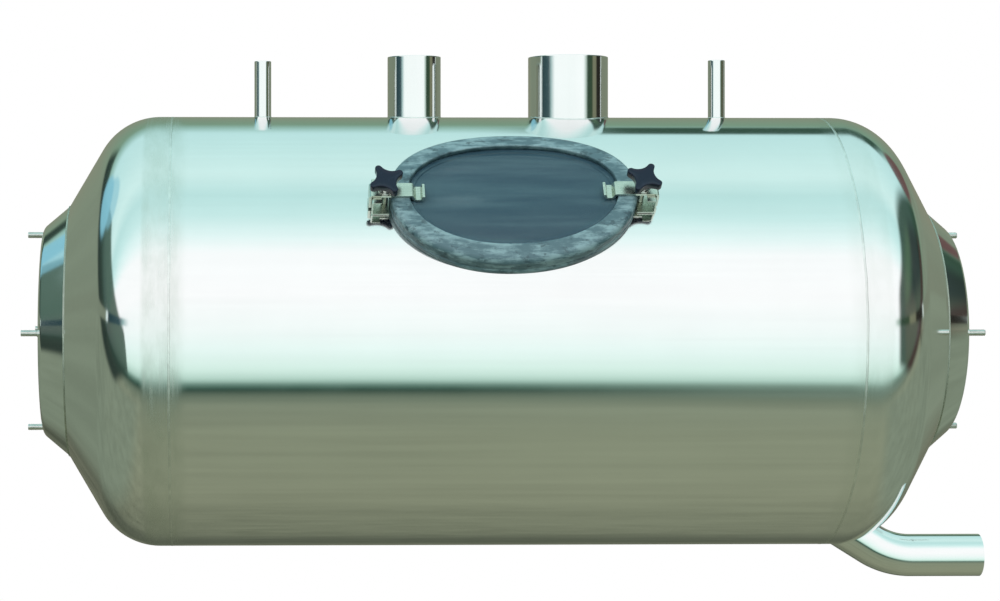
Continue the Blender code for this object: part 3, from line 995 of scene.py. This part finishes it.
@dataclass
class HangingStuds:
    """The four hanging studs of each pan, with their weld feet."""

    shell: Shell
    length: float = 0.0155
    pitch_radius: float = 0.0915

    def build(self) -> None:
        """Build all eight studs."""
        rod = ThreadedStud()
        ways = {"top": (0, 0, 1), "bottom": (0, 0, -1), "front": (0, -1, 0), "rear": (0, 1, 0)}
        for side, end in ((-1, "left"), (1, "right")):
            for word, way in ways.items():
                shift = Matrix.Translation(Vector(way) * self.pitch_radius)
                place = shift @ self.shell.end_place(side)
                foot = self.shell.half + GAP
                name = f"{end}_stud_{word}"
                mesh = rod.mesh(name, place, foot, self.shell.half + self.length)
                install(mesh, STUD_STEEL, [f"{end}_end_stud_{word}"])
                base = self.shell.half
                collar = [(0.0027, base + 0.0010), (0.0032, base + 0.0005), (0.0038, base + 0.0001)]
                collar += [(0.0038, base - 0.0004), (0.0027, base - 0.0004)]
                weld = lathe(name + "_weld", collar, place, 36)
                install(weld, WELD)


@dataclass
class StubPipe:
    """An open stub pipe on the top line, with a weld bead round its foot."""

    name: str
    offset: float
    radius: float
    wall: float
    height: float
    edge: float = 0.00035
    hold: float = 0.0006
    tuck: float = 0.003
    weld: float = 0.0006

    def place(self, shell: Shell) -> Matrix:
        """Frame on the vessel's axis under the pipe."""
        return Matrix.Translation(shell.centre + Vector((self.offset, 0.0, 0.0)))

    def cutter(self, shell: Shell) -> bpy.types.Mesh:
        """Cutter for the pipe's hole, ending inside the pipe's wall.

        Args:
            shell: The shell that the pipe stands on.

        Returns:
            The cutter's mesh.
        """
        reach = self.radius - self.wall / 2
        depth = 0.02
        line = [(reach, shell.radius - depth), (reach, shell.radius + depth)]
        return lathe(self.name + "_cutter", line, self.place(shell), 96, False, True)

    def build(self, shell: Shell) -> None:
        """Build the pipe and its weld bead.

        Args:
            shell: The shell that the pipe stands on.
        """
        top = shell.radius + self.height
        bottom = shell.radius - shell.sheet - self.tuck
        bore = self.radius - self.wall
        edge, hold = self.edge, self.hold
        line = [(self.radius, bottom), (self.radius, bottom + hold)]
        line += [(self.radius, top - edge - hold), (self.radius, top - edge)]
        line += arc((self.radius - edge, top - edge), edge, 0.0, math.pi / 2, 4)[1:]
        line += arc((bore + edge, top - edge), edge, math.pi / 2, math.pi, 4)
        line += [(bore, top - edge - hold), (bore, bottom + hold), (bore, bottom)]
        pipe = lathe(self.name + "_tube", line, self.place(shell), 128)
        install(pipe, PIPE_STEEL, [self.name])
        path = []
        radii = []
        for turn in round_turns(240):
            across = self.radius * math.sin(turn)
            lift = math.sqrt(shell.radius**2 - across**2)
            spot = Vector((self.offset + self.radius * math.cos(turn), across, lift))
            path.append(spot + Vector((shell.half, 0.0, 0.0)))
            radii.append(self.weld * (1 + 0.35 * noise.noise(spot * 300.0)))
        install(sweep(self.name + "_weld", path, radii, 10, True), WELD)


@dataclass
class Outlet:
    """The swept outlet tube under the right end."""

    shell: Shell
    radius: float = 0.02018
    wall: float = 0.0015
    bend: float = 0.072
    bend_past_seam: float = 0.092
    slope: float = math.radians(32.0)
    tip_past_seam: float = 0.159
    below: float = 0.012
    lead: float = 0.052
    weld: float = 0.0008

    def path(self) -> list[Vector]:
        """Centre line from inside the end to the tip, in the model's frame.

        Returns:
            The points.
        """
        drop = self.shell.radius + self.below
        centre = (self.shell.seam + self.bend_past_seam, self.bend - drop)
        curve = arc(centre, self.bend, -math.pi / 2 - self.slope, -math.pi / 2, 20)
        back = (math.cos(self.slope) * self.lead, -math.sin(self.slope) * self.lead)
        start = (curve[0][0] - back[0], curve[0][1] - back[1])
        tip = (self.shell.seam + self.tip_past_seam, -drop)
        return [self.shell.centre + Vector((x, 0.0, z)) for x, z in [start, *curve, tip]]

    def cutter(self) -> bpy.types.Mesh:
        """Cutter for the hole under the tube, ending inside the tube's wall."""
        path = self.path()[:3]
        return sweep("outlet_cutter", path, [self.radius - self.wall / 2] * 3, 64)

    def meeting_line(self) -> list[Vector]:
        """Points where the tube's outside meets the right end's outside.

        Returns:
            The points, once round the tube.
        """
        path = self.path()
        way = (path[1] - path[0]).normalized()
        line = self.shell.end_line()

        def within(point: Vector) -> bool:
            """Tell whether a point is inside the end's outer surface.

            Args:
                point: A point in the model's frame.

            Returns:
                True if it is inside.
            """
            x = point.x - self.shell.half
            reach = point.yz.length
            if x <= self.shell.seam:
                return reach < self.shell.radius
            for (r1, x1), (r2, x2) in zip(line, line[1:]):
                if x2 <= x <= x1:
                    share = (x - x2) / max(x1 - x2, 1e-9)
                    return reach < r2 + (r1 - r2) * share
            return False

        points = []
        for start in round_ring(path[0], way, Vector((0.0, 1.0, 0.0)), self.radius, 160):
            low, high = -0.05, 0.16
            for _ in range(40):
                middle = (low + high) / 2
                if within(start + way * middle):
                    low = middle
                else:
                    high = middle
            points.append(start + way * low)
        return points

    def build(self) -> None:
        """Build the tube and its weld bead."""
        path = self.path()
        bore = self.radius - self.wall
        side = Vector((0.0, 1.0, 0.0))
        size = len(path)
        rings = []
        for radius, order in ((self.radius, range(size)), (bore, range(size - 1, -1, -1))):
            for i in order:
                way = (path[min(i + 1, size - 1)] - path[max(i - 1, 0)]).normalized()
                rings.append(round_ring(path[i], way, side, radius, 96))
        tube = skin("outlet_tube", rings, wrap=True)
        install(tube, OUTLET_STEEL, ["outlet_pipe"])
        line = self.meeting_line()
        radii = [self.weld * (1 + 0.3 * noise.noise(point * 280.0)) for point in line]
        install(sweep("outlet_weld", line, radii, 10, True), WELD)


@dataclass
class Hatch:
    """The hand hole's seal and lid."""

    shell: Shell
    tilt: float = math.radians(36.1)
    twist: float = math.radians(2.0)
    shift: float = -0.002
    half_length: float = 0.1105
    half_width: float = 0.0719
    fullness: float = 2.15
    width: float = 0.017
    height: float = 0.017
    foot_width: float = 0.015
    lip: float = 0.0055
    groove: float = 0.009
    shoulder: float = 0.0045
    hole_inset: float = 0.0175
    lid: float = 0.005
    lid_step: float = 0.0009
    rim_round: float = 0.0014
    stations: int = 240
    lid_rings: int = 30

    def place(self, tilt: float, shift: float, twist: float = 0.0) -> Matrix:
        """Frame on the barrel's surface with Z square to the shell.

        Args:
            tilt: Angle up from the front, about the axis.
            shift: Distance from mid-vessel, along the axis.
            twist: Turn about the frame's Z.

        Returns:
            The frame.
        """
        out = Vector((0.0, -math.cos(tilt), math.sin(tilt)))
        up_slope = Vector((0.0, math.sin(tilt), math.cos(tilt)))
        turn = Matrix((Vector((1.0, 0.0, 0.0)), up_slope, out)).transposed().to_4x4()
        spot = self.shell.centre + Vector((shift, 0.0, 0.0)) + out * self.shell.radius
        return Matrix.Translation(spot) @ turn @ Matrix.Rotation(twist, 4, "Z")

    def frame(self) -> Matrix:
        """Frame of the hand hole."""
        return self.place(self.tilt, self.shift, self.twist)

    def oval(self, inset: float) -> list[Point]:
        """Points of the seal's oval, moved in by an even inset.

        Args:
            inset: How far the points are moved in.

        Returns:
            The points.
        """
        power = self.fullness
        points = []
        for i in range(self.stations):
            turn = 2 * math.pi * i / self.stations
            along = math.cos(turn) / self.half_length
            across = math.sin(turn) / self.half_width
            reach = (abs(along) ** power + abs(across) ** power) ** (-1 / power)
            slope = Vector((
                math.copysign(abs(along) ** (power - 1), along) / self.half_length,
                math.copysign(abs(across) ** (power - 1), across) / self.half_width,
            )).normalized()
            points.append((
                math.cos(turn) * reach - slope.x * inset,
                math.sin(turn) * reach - slope.y * inset,
            ))
        return points

    def lifted(self, point: Point, radius: float) -> Vector:
        """Lift an oval's point to a radius about the vessel's axis.

        Args:
            point: The point in the hand hole's frame.
            radius: Distance from the vessel's axis.

        Returns:
            The point in the model's frame.
        """
        across = point[0] * math.sin(self.twist) + point[1] * math.cos(self.twist)
        height = math.sqrt(radius**2 - across**2) - self.shell.radius
        return self.frame() @ Vector((point[0], point[1], height))

    def cutter(self) -> bpy.types.Mesh:
        """Cutter for the hand hole.

        Returns:
            The cutter's mesh.
        """
        place = self.frame()
        oval = self.oval(self.hole_inset)
        rings = [[place @ Vector((x, y, z)) for x, y in oval] for z in (-0.06, 0.06)]
        return skin("hand_hole_cutter", rings, caps=True)

    def section(self) -> list[Point]:
        """Section of the seal as (inset, radius) points.

        Returns:
            The points, once round the section.
        """
        foot = self.shell.radius + GAP
        top = self.shell.radius + self.height
        lid_outer = top - self.lip
        groove_top = lid_outer + GAP
        groove_floor = lid_outer - self.lid - GAP
        bottom = self.width - self.groove
        soft = self.rim_round
        wall = [(0.0004, 0.0), (0.0, 0.0005), (0.0, 0.0044), (0.0010, 0.0049)]
        wall += [(0.0010, 0.0056), (0.0002, 0.0062)]
        line = [(inset, foot + rise) for inset, rise in wall]
        line += arc((self.shoulder, top - self.shoulder), self.shoulder, math.pi, math.pi / 2, 10)
        line += arc((self.width - soft, top - soft), soft, math.pi / 2, 0.0, 6)
        line += [(self.width, groove_top + 0.0004), (self.width - 0.0004, groove_top)]
        line += [(bottom, groove_top), (bottom, groove_floor)]
        line += [(self.foot_width - 0.0008, groove_floor), (self.foot_width, groove_floor - 0.0008)]
        line += [(self.foot_width, foot)]
        return line

    def build(self) -> None:
        """Build the seal and the lid."""
        rings = []
        for inset, radius in self.section():
            rings.append([self.lifted(point, radius) for point in self.oval(inset)])
        seal = skin("hatch_seal", rings, wrap=True, sharp=50.0)
        install(seal, RUBBER, ["lid_seal"], "lid")
        outer = self.shell.radius + self.height - self.lip
        inner = outer - self.lid
        edge = self.oval(self.width - self.groove + GAP)
        shares = [k / self.lid_rings for k in range(self.lid_rings + 1)]
        step = self.lid_step
        rise = [(0.0056, 1.0), (0.0052, 0.93), (0.0049, 0.5)]
        rise += [(0.0046, 0.07), (0.0042, 0.0), (0.002, 0.0)]
        well = self.oval(self.width + rise[0][0])
        rings = [[self.lifted((x * s, y * s), outer - step) for x, y in well] for s in shares[:-1]]
        for past, share in rise:
            line = self.oval(self.width + past)
            rings.append([self.lifted(point, outer - step * share) for point in line])
        rings.append([self.lifted(point, outer) for point in edge])
        rings += [[self.lifted((x * s, y * s), inner) for x, y in edge] for s in shares[::-1]]
        install(skin("hatch_lid", rings), LID, ["lid_panel"], "lid")


@dataclass
class Clamp:
    """One clamp: threaded stud, bracket, star knob, and the kept strap, washer and insert."""

    hatch: Hatch
    side: int
    tilt: float
    offset: float = 0.1143
    strap_top: float = 0.0195
    washer: float = 0.0012
    insert: float = 0.0124
    standoff: float = 0.0071
    thickness: float = 0.0076
    tip: float = 0.0165
    tip_round: float = 0.0031
    edge_round: float = 0.0008
    waist: float = 0.0092
    bracket_wall: float = 0.0012
    bracket_reach: float = 0.0084
    bracket_depth: float = 0.027
    bracket_fold: float = 0.0018
    bracket_edge: float = 0.0002
    stud_room: float = 0.0038
    stud_foot: float = 0.0018
    turn: float = math.radians(30.0)

    @property
    def word(self) -> str:
        """Name of the side."""
        return "left" if self.side < 0 else "right"

    def frame(self) -> Matrix:
        """Frame of the clamp's stud: Z out of the shell, X away from the hand hole.

        Returns:
            The frame.
        """
        shift = self.hatch.shift + self.side * self.offset
        turn = Matrix.Rotation(0.0 if self.side > 0 else math.pi, 4, "Z")
        return self.hatch.place(self.tilt, shift) @ turn

    def star(self) -> list[Vector]:
        """Outline of the knob: four round tips joined by hollow sides.

        Returns:
            The points, once round the knob.
        """
        reach = self.tip - self.tip_round
        lean = math.sqrt(2.0) * reach
        hollow = reach**2 + self.waist**2 - lean * self.waist - self.tip_round**2
        hollow /= 2 * self.tip_round + lean - 2 * self.waist
        far = (self.waist + hollow) / math.sqrt(2.0)
        touch = math.atan2(far, far - reach)
        sweep_half = touch - math.pi / 4
        quarter = arc((reach, 0.0), self.tip_round, -touch, touch, 16)
        start = math.pi + touch
        quarter += arc((far, far), hollow, start, start - 2 * sweep_half, 16)[1:-1]
        outline = []
        for k in range(4):
            turn = Matrix.Rotation(self.turn + k * math.pi / 2, 2)
            outline += [turn @ Vector(point) for point in quarter]
        return [Vector((p.x, -self.side * p.y)) for p in outline]

    def knob(self) -> bpy.types.Mesh:
        """Build the knob: rounded edges and a shallow dished face.

        Returns:
            The mesh.
        """
        outline = self.star()
        count = len(outline)
        inward = []
        for i in range(count):
            along = (outline[(i + 1) % count] - outline[i - 1]).normalized()
            normal = Vector((-along.y, along.x))
            inward.append(normal if normal.dot(outline[i]) < 0 else -normal)
        bottom = self.strap_top + 2 * GAP + self.washer + self.standoff
        top = bottom + self.thickness
        edge = self.edge_round
        line = [(0.0009, bottom), (0.0002, bottom + 0.0003), (0.0, bottom + 0.0010)]
        line += [(0.0, top - edge)]
        for t in (0.4, 0.8, 1.2):
            line.append((edge - edge * math.cos(t), top - edge + edge * math.sin(t)))
        line += [(edge, top)]
        place = self.frame()

        def ring(inset: float, height: float, share: float = 1.0) -> list[Vector]:
            """One ring of the knob at an inset from its outline."""
            moved = [(p + n * inset) * share for p, n in zip(outline, inward)]
            return [place @ Vector((p.x, p.y, height)) for p in moved]

        rings = [ring(0.0009, bottom, share) for share in (0.0, 0.5)]
        rings += [ring(inset, height) for inset, height in line]
        rings += [ring(0.0016, top - 0.0003), ring(0.0020, top - 0.0005, 0.85)]
        rings += [ring(0.0020, top - 0.0007, 0.5), ring(0.0020, top - 0.0007, 0.0)]
        mesh = skin(self.word + "_star_knob", rings, sharp=40.0)
        keep_inside(mesh)
        return mesh

    def bracket(self) -> bpy.types.Mesh:
        """Build the bracket: a folded channel whose foot reaches in under the stud.

        Returns:
            The mesh.
        """
        wall = self.bracket_wall
        near, far = self.stud_room, self.stud_room + self.bracket_reach
        foot, top = GAP, self.hatch.height
        fold = self.bracket_fold
        quarter = math.pi / 2
        line = [(GAP - near, foot), (far - fold, foot)]
        line += arc((far - fold, foot + fold), fold, -quarter, 0.0, 5)
        line += arc((far - fold, top - fold), fold, 0.0, quarter, 5)
        line += [(near, top), (near, top - wall)]
        line += arc((far - fold, top - fold), fold - wall, quarter, 0.0, 5)
        line += arc((far - fold, foot + fold), fold - wall, 0.0, -quarter, 5)
        line += [(GAP - near, foot + wall)]
        place = self.frame()
        half, soft = self.bracket_depth / 2, self.bracket_edge
        rings = []
        for across in (-half, -half + soft, half - soft, half):
            rings.append([place @ Vector((u, across, h)) for u, h in line])
        return skin(self.word + "_folded_bracket", rings, caps=True, sharp=30.0)

    def build(self) -> None:
        """Build the new pieces and dress the kept ones."""
        word = self.word
        wheel = word + "_handwheel"
        install(self.knob(), KNOB, [word + "_knob"], wheel)
        top = self.strap_top + 2 * GAP + self.washer + self.insert - GAP
        rod = ThreadedStud().mesh(word + "_threaded_stud", self.frame(), self.stud_foot, top)
        install(rod, STUD_STEEL, [word + "_clamp_stud"])
        dress(word + "_strap", CLAMP_STEEL)
        install(self.bracket(), CLAMP_STEEL, [word + "_bracket"], "vessel")
        dress(word + "_washer", STUD_STEEL)
        dress(word + "_knob_insert", STUD_STEEL)


# ---------------------------------------------------------------- studio


# Colours round the vessel as rows of angle in degrees, red, green and blue. The sky's angle
# goes from the front horizon, up over the top to the rear.
SKY = (
    (-180, 126, 128, 110), (-166, 116, 120, 102), (-155, 94, 100, 84), (-146, 102, 108, 92),
    (-134, 132, 138, 116), (-96, 142, 148, 124), (-55, 142, 150, 126), (-39, 138, 148, 126),
    (-33.5, 112, 126, 108), (-29.5, 44, 68, 58), (-27, 84, 118, 104), (-24, 180, 212, 198),
    (-19, 216, 242, 231), (-9, 234, 251, 246), (2, 246, 253, 251), (20, 255, 255, 255),
    (42, 253, 255, 255), (52, 229, 249, 247), (64, 202, 237, 234), (77, 188, 227, 224),
    (92, 208, 240, 236), (115, 195, 232, 229), (132, 188, 227, 225), (139, 150, 190, 180),
    (146, 118, 148, 126), (160, 124, 140, 120), (180, 126, 128, 110),
)
# Seen from above, from straight ahead: hedges and posts on both sides.
FENCE = (
    (-180, 120, 131, 113), (-94, 120, 131, 113), (-91.5, 216, 232, 228), (-89, 216, 232, 228),
    (-87, 38, 60, 66), (-64, 52, 78, 84), (-57, 150, 182, 180), (-46, 246, 253, 251),
    (38, 246, 253, 251), (47, 150, 175, 160), (51, 44, 66, 50), (66, 52, 72, 52),
    (70, 120, 124, 100), (80, 118, 120, 98), (84, 36, 34, 30), (99, 36, 34, 30),
    (101, 200, 212, 204), (102.5, 200, 212, 204), (104.5, 120, 128, 110), (180, 120, 131, 113),
)


def gradient(graph: Graph, rows: Sequence[tuple[float, int, int, int]], share: Signal) -> Signal:
    """Read rows of angle and colour as a ramp over a share of the whole turn."""
    stops = [((angle + 180) / 360, tone(*colour)) for angle, *colour in rows]
    return graph.add("ShaderNodeValToRGB", {"stops": stops}, {0: share})


@dataclass
class Studio:
    """Surroundings, floor, lamp and camera."""

    shell: Shell
    floor_height: float = -0.75
    floor_reach: float = 30.0
    eye: tuple[float, float, float] = (-0.26264, -2.4357, 0.05364)
    turn: float = math.radians(1.49)
    lens: float = 91.74
    shift: tuple[float, float] = (0.2134, -0.0257)
    gain: float = 1.17
    lamp_size: tuple[float, float] = (2.4, 1.6)
    lamp_power: float = 26.0
    lamp_spot: tuple[float, float, float] = (-0.5, -1.9, 1.5)

    @staticmethod
    def fence(graph: Graph, x: Signal, y: Signal, z: Signal, light: Signal) -> Signal:
        """Add what stands beside the vessel at eye level, in a thin level strip.

        Args:
            graph: The world's node tree.
            x: The way seen, along the axis.
            y: The way seen, to the rear.
            z: The way seen, upwards.
            light: The colour so far.

        Returns:
            The colour with the strip in it.
        """
        round_about = graph.add("ShaderNodeMath", {"operation": "ARCTAN2"}, {0: x, 1: y * -1.0})
        scene = gradient(graph, FENCE, round_about * (0.5 / math.pi) + 0.5)
        strip = z.between(0.046, 0.056, 0.098, 0.108) * abs(x).rise(0.55, 0.66)
        return strip.pick(light, scene)

    def surroundings(self) -> None:
        """Make the world: pale sky in front and above, hedges beside, ground below."""
        world = bpy.data.worlds.new("surroundings")
        bpy.context.scene.world = world
        world.use_nodes = True
        world.node_tree.nodes.clear()
        graph = Graph(world.node_tree)
        way = graph.add("ShaderNodeTexCoord", {}, {}, "Generated")
        x, y, z = graph.parts(way)
        angle = graph.add("ShaderNodeMath", {"operation": "ARCTAN2"}, {0: z, 1: y * -1.0})
        share = angle * (0.5 / math.pi) + x.rise(0.05, 0.35) * 0.006 + 0.5
        light = gradient(graph, SKY, share)

        far_right = share.between(0.404, 0.414, 0.424, 0.434) * x.rise(0.08, 0.25)
        light = (far_right * 0.5).pick(light, tone(136, 156, 140))
        ground = share.rise(0.420, 0.395)
        clumps = graph.mottle(way * (4.0, 11.0, 11.0), 1.0, 5.0, 0.65).rise(0.3, 0.7)
        grit = graph.mottle(way * (60.0, 90.0, 90.0), 1.0, 4.0, 0.75).rise(0.3, 0.7)
        low = share.rise(0.27, 0.14) * 0.42 + 0.14
        across = x.rise(0.45, -0.25) * 0.43 + 0.57
        dim = ground * ((1 - clumps) * 0.20 + (1 - grit) * low) * across
        light = dim.pick(light, tone(46, 52, 42))

        aside = abs(x)
        slant = y - z * 1.5
        yard = aside.rise(0.40, 0.65) * slant.rise(0.10, 0.25)
        yard_shade = clumps.pick(tone(118, 130, 112), tone(128, 141, 122))
        light = (yard * 0.9).pick(light, yard_shade)

        upper = x.rise(-0.84, -0.70)
        left = (slant - upper * 0.5).rise(-0.64, -0.54) * slant.rise(0.30, 0.17)
        left = left * x.rise(-0.38, -0.50) * z.rise(-0.36, -0.26)
        left_shade = slant.rise(0.15, -0.38).pick(tone(36, 50, 46), tone(68, 92, 78))
        light = (left * 0.95).pick(light, left_shade)

        right = x.rise(0.70, 0.79) * slant.rise(0.14, 0.0)
        right = right * slant.rise(-1.15, -1.0) * z.rise(-0.30, -0.20)
        core = slant.rise(-0.78, -0.48).pick(tone(66, 92, 64), tone(24, 32, 26))
        core = z.rise(0.12, 0.26).pick(tone(66, 74, 56), core)
        core = slant.rise(-0.14, -0.04).pick(core, tone(62, 44, 42))
        core = x.rise(0.90, 0.82).pick(core, tone(46, 70, 56))
        light = (right * 0.95).pick(light, core)

        lean = y * 0.63 - z * 0.777
        line = lean.between(-0.19, -0.13, -0.02, 0.04) * y.rise(0.05, 0.20)
        line = line * x.rise(0.10, 0.16) * x.rise(0.62, 0.45)
        light = (line * 0.97).pick(light, tone(45, 71, 57))
        light = self.fence(graph, x, y, z, light)
        for spot, near, far, shade, strength in self.patches():
            values = {0: way, 1: spot}
            reach = graph.add("ShaderNodeVectorMath", {"operation": "DOT_PRODUCT"}, values, "Value")
            light = (reach.rise(far, near) * strength).pick(light, shade)

        rays = graph.add("ShaderNodeLightPath", {}, {}, "Is Camera Ray")
        seen = graph.add("ShaderNodeBackground", {}, {"Color": (1.0, 1.0, 1.0), "Strength": 1.0})
        felt = graph.add("ShaderNodeBackground", {}, {"Color": light, "Strength": self.gain})
        both = graph.add("ShaderNodeMixShader", {}, {0: rays, 1: felt, 2: seen})
        self.close(graph, both)

    @staticmethod
    def close(graph: Graph, shader: Signal) -> None:
        """Join a shader to a world output."""
        output = graph.tree.nodes.new("ShaderNodeOutputWorld")
        graph.tree.links.new(shader.socket, output.inputs["Surface"])

    @staticmethod
    def patches() -> list[tuple[Colour, float, float, Colour, float]]:
        """Coloured things beside the vessel: way, near and far cosines, colour, strength.

        Returns:
            One row for each thing.
        """
        return [
            ((-0.740, 0.500, 0.450), 0.991, 0.982, tone(132, 192, 208), 0.92),
            ((0.650, 0.610, 0.450), 0.993, 0.985, tone(98, 58, 64), 0.85),
            ((-0.750, 0.360, 0.560), 0.992, 0.984, tone(132, 192, 208), 0.6),
        ]

    def floor(self) -> None:
        """Make a plain pale floor well below the vessel."""
        reach = self.floor_reach
        mesh = bpy.data.meshes.new("floor")
        signs = ((-1, -1), (1, -1), (1, 1), (-1, 1))
        corners = [(reach * along, reach * across, 0.0) for along, across in signs]
        mesh.from_pydata(corners, [], [(0, 1, 2, 3)])
        floor = set_out("floor", mesh)
        floor.location = (self.shell.half, 0.0, self.floor_height)
        made = bpy.data.materials.new("floor_pale")
        made.use_nodes = True
        graph = Graph(made.node_tree)
        shader = made.node_tree.nodes["Principled BSDF"]
        shader.inputs["Base Color"].default_value = (0.90, 0.90, 0.90, 1.0)
        shader.inputs["Roughness"].default_value = 0.9
        place = graph.add("ShaderNodeTexCoord", {}, {}, "Object")
        away = graph.add("ShaderNodeVectorMath", {"operation": "LENGTH"}, {0: place}, "Value")
        rays = graph.add("ShaderNodeLightPath", {}, {}, "Is Camera Ray")
        white = graph.add("ShaderNodeEmission", {}, {"Color": (1.0, 1.0, 1.0), "Strength": 1.0})
        share = rays * (0.8 + away.rise(0.6, 1.6) * 0.2)
        lit = Signal(graph, shader.outputs[0])
        both = graph.add("ShaderNodeMixShader", {}, {0: share, 1: lit, 2: white})
        output = made.node_tree.nodes["Material Output"]
        graph.feed(output.inputs["Surface"], both)
        mesh.materials.append(made)
        floor.visible_glossy = False
        floor.visible_diffuse = False
        floor.visible_transmission = False

    def lamp(self) -> None:
        """Add one broad soft lamp in front and above, which the metal doesn't mirror."""
        light = bpy.data.lights.new("soft_box", "AREA")
        light.shape = "RECTANGLE"
        light.size, light.size_y = self.lamp_size
        light.energy = self.lamp_power
        lamp = set_out("soft_box", light)
        spot = self.shell.centre + Vector(self.lamp_spot)
        lamp.location = spot
        lamp.rotation_mode = "QUATERNION"
        lamp.rotation_quaternion = (self.shell.centre - spot).to_track_quat("-Z", "Y")
        lamp.visible_glossy = False

    def camera(self) -> None:
        """Set the camera level with the vessel and a little to the left of its middle."""
        data = bpy.data.cameras.new("camera")
        data.sensor_width = 36.0
        data.lens = self.lens
        data.shift_x, data.shift_y = self.shift
        data.clip_start = 0.05
        data.clip_end = 100.0
        camera = set_out("camera", data)
        camera.location = self.shell.centre + Vector(self.eye)
        camera.rotation_euler = (math.pi / 2, 0.0, -self.turn)
        bpy.context.scene.camera = camera

    def build(self) -> None:
        """Build the whole studio."""
        bpy.context.scene.view_settings.view_transform = "Standard"
        self.surroundings()
        self.floor()
        self.lamp()
        self.camera()


def main() -> None:
    """Build the vessel and the studio."""
    logging.basicConfig(level=logging.INFO, format="%(message)s")
    shell = Shell()
    pipes = [
        StubPipe("wash_pipe", -0.2220, 0.0080, 0.0015, 0.0535),
        StubPipe("milk_inlet_pipe", -0.0772, 0.0254, 0.0015, 0.0578),
        StubPipe("vacuum_pipe", 0.0706, 0.03805, 0.0020, 0.0578),
        StubPipe("probe_pipe", 0.2135, 0.0080, 0.0015, 0.0553),
    ]
    outlet = Outlet(shell)
    hatch = Hatch(shell)
    shell.build([hatch.cutter(), *(pipe.cutter(shell) for pipe in pipes)], outlet.cutter())
    HangingStuds(shell).build()
    for pipe in pipes:
        pipe.build(shell)
    outlet.build()
    hatch.build()
    Clamp(hatch, -1, math.radians(35.3)).build()
    Clamp(hatch, 1, math.radians(35.9)).build()
    Studio(shell).build()


if __name__ == "__main__":
    main()
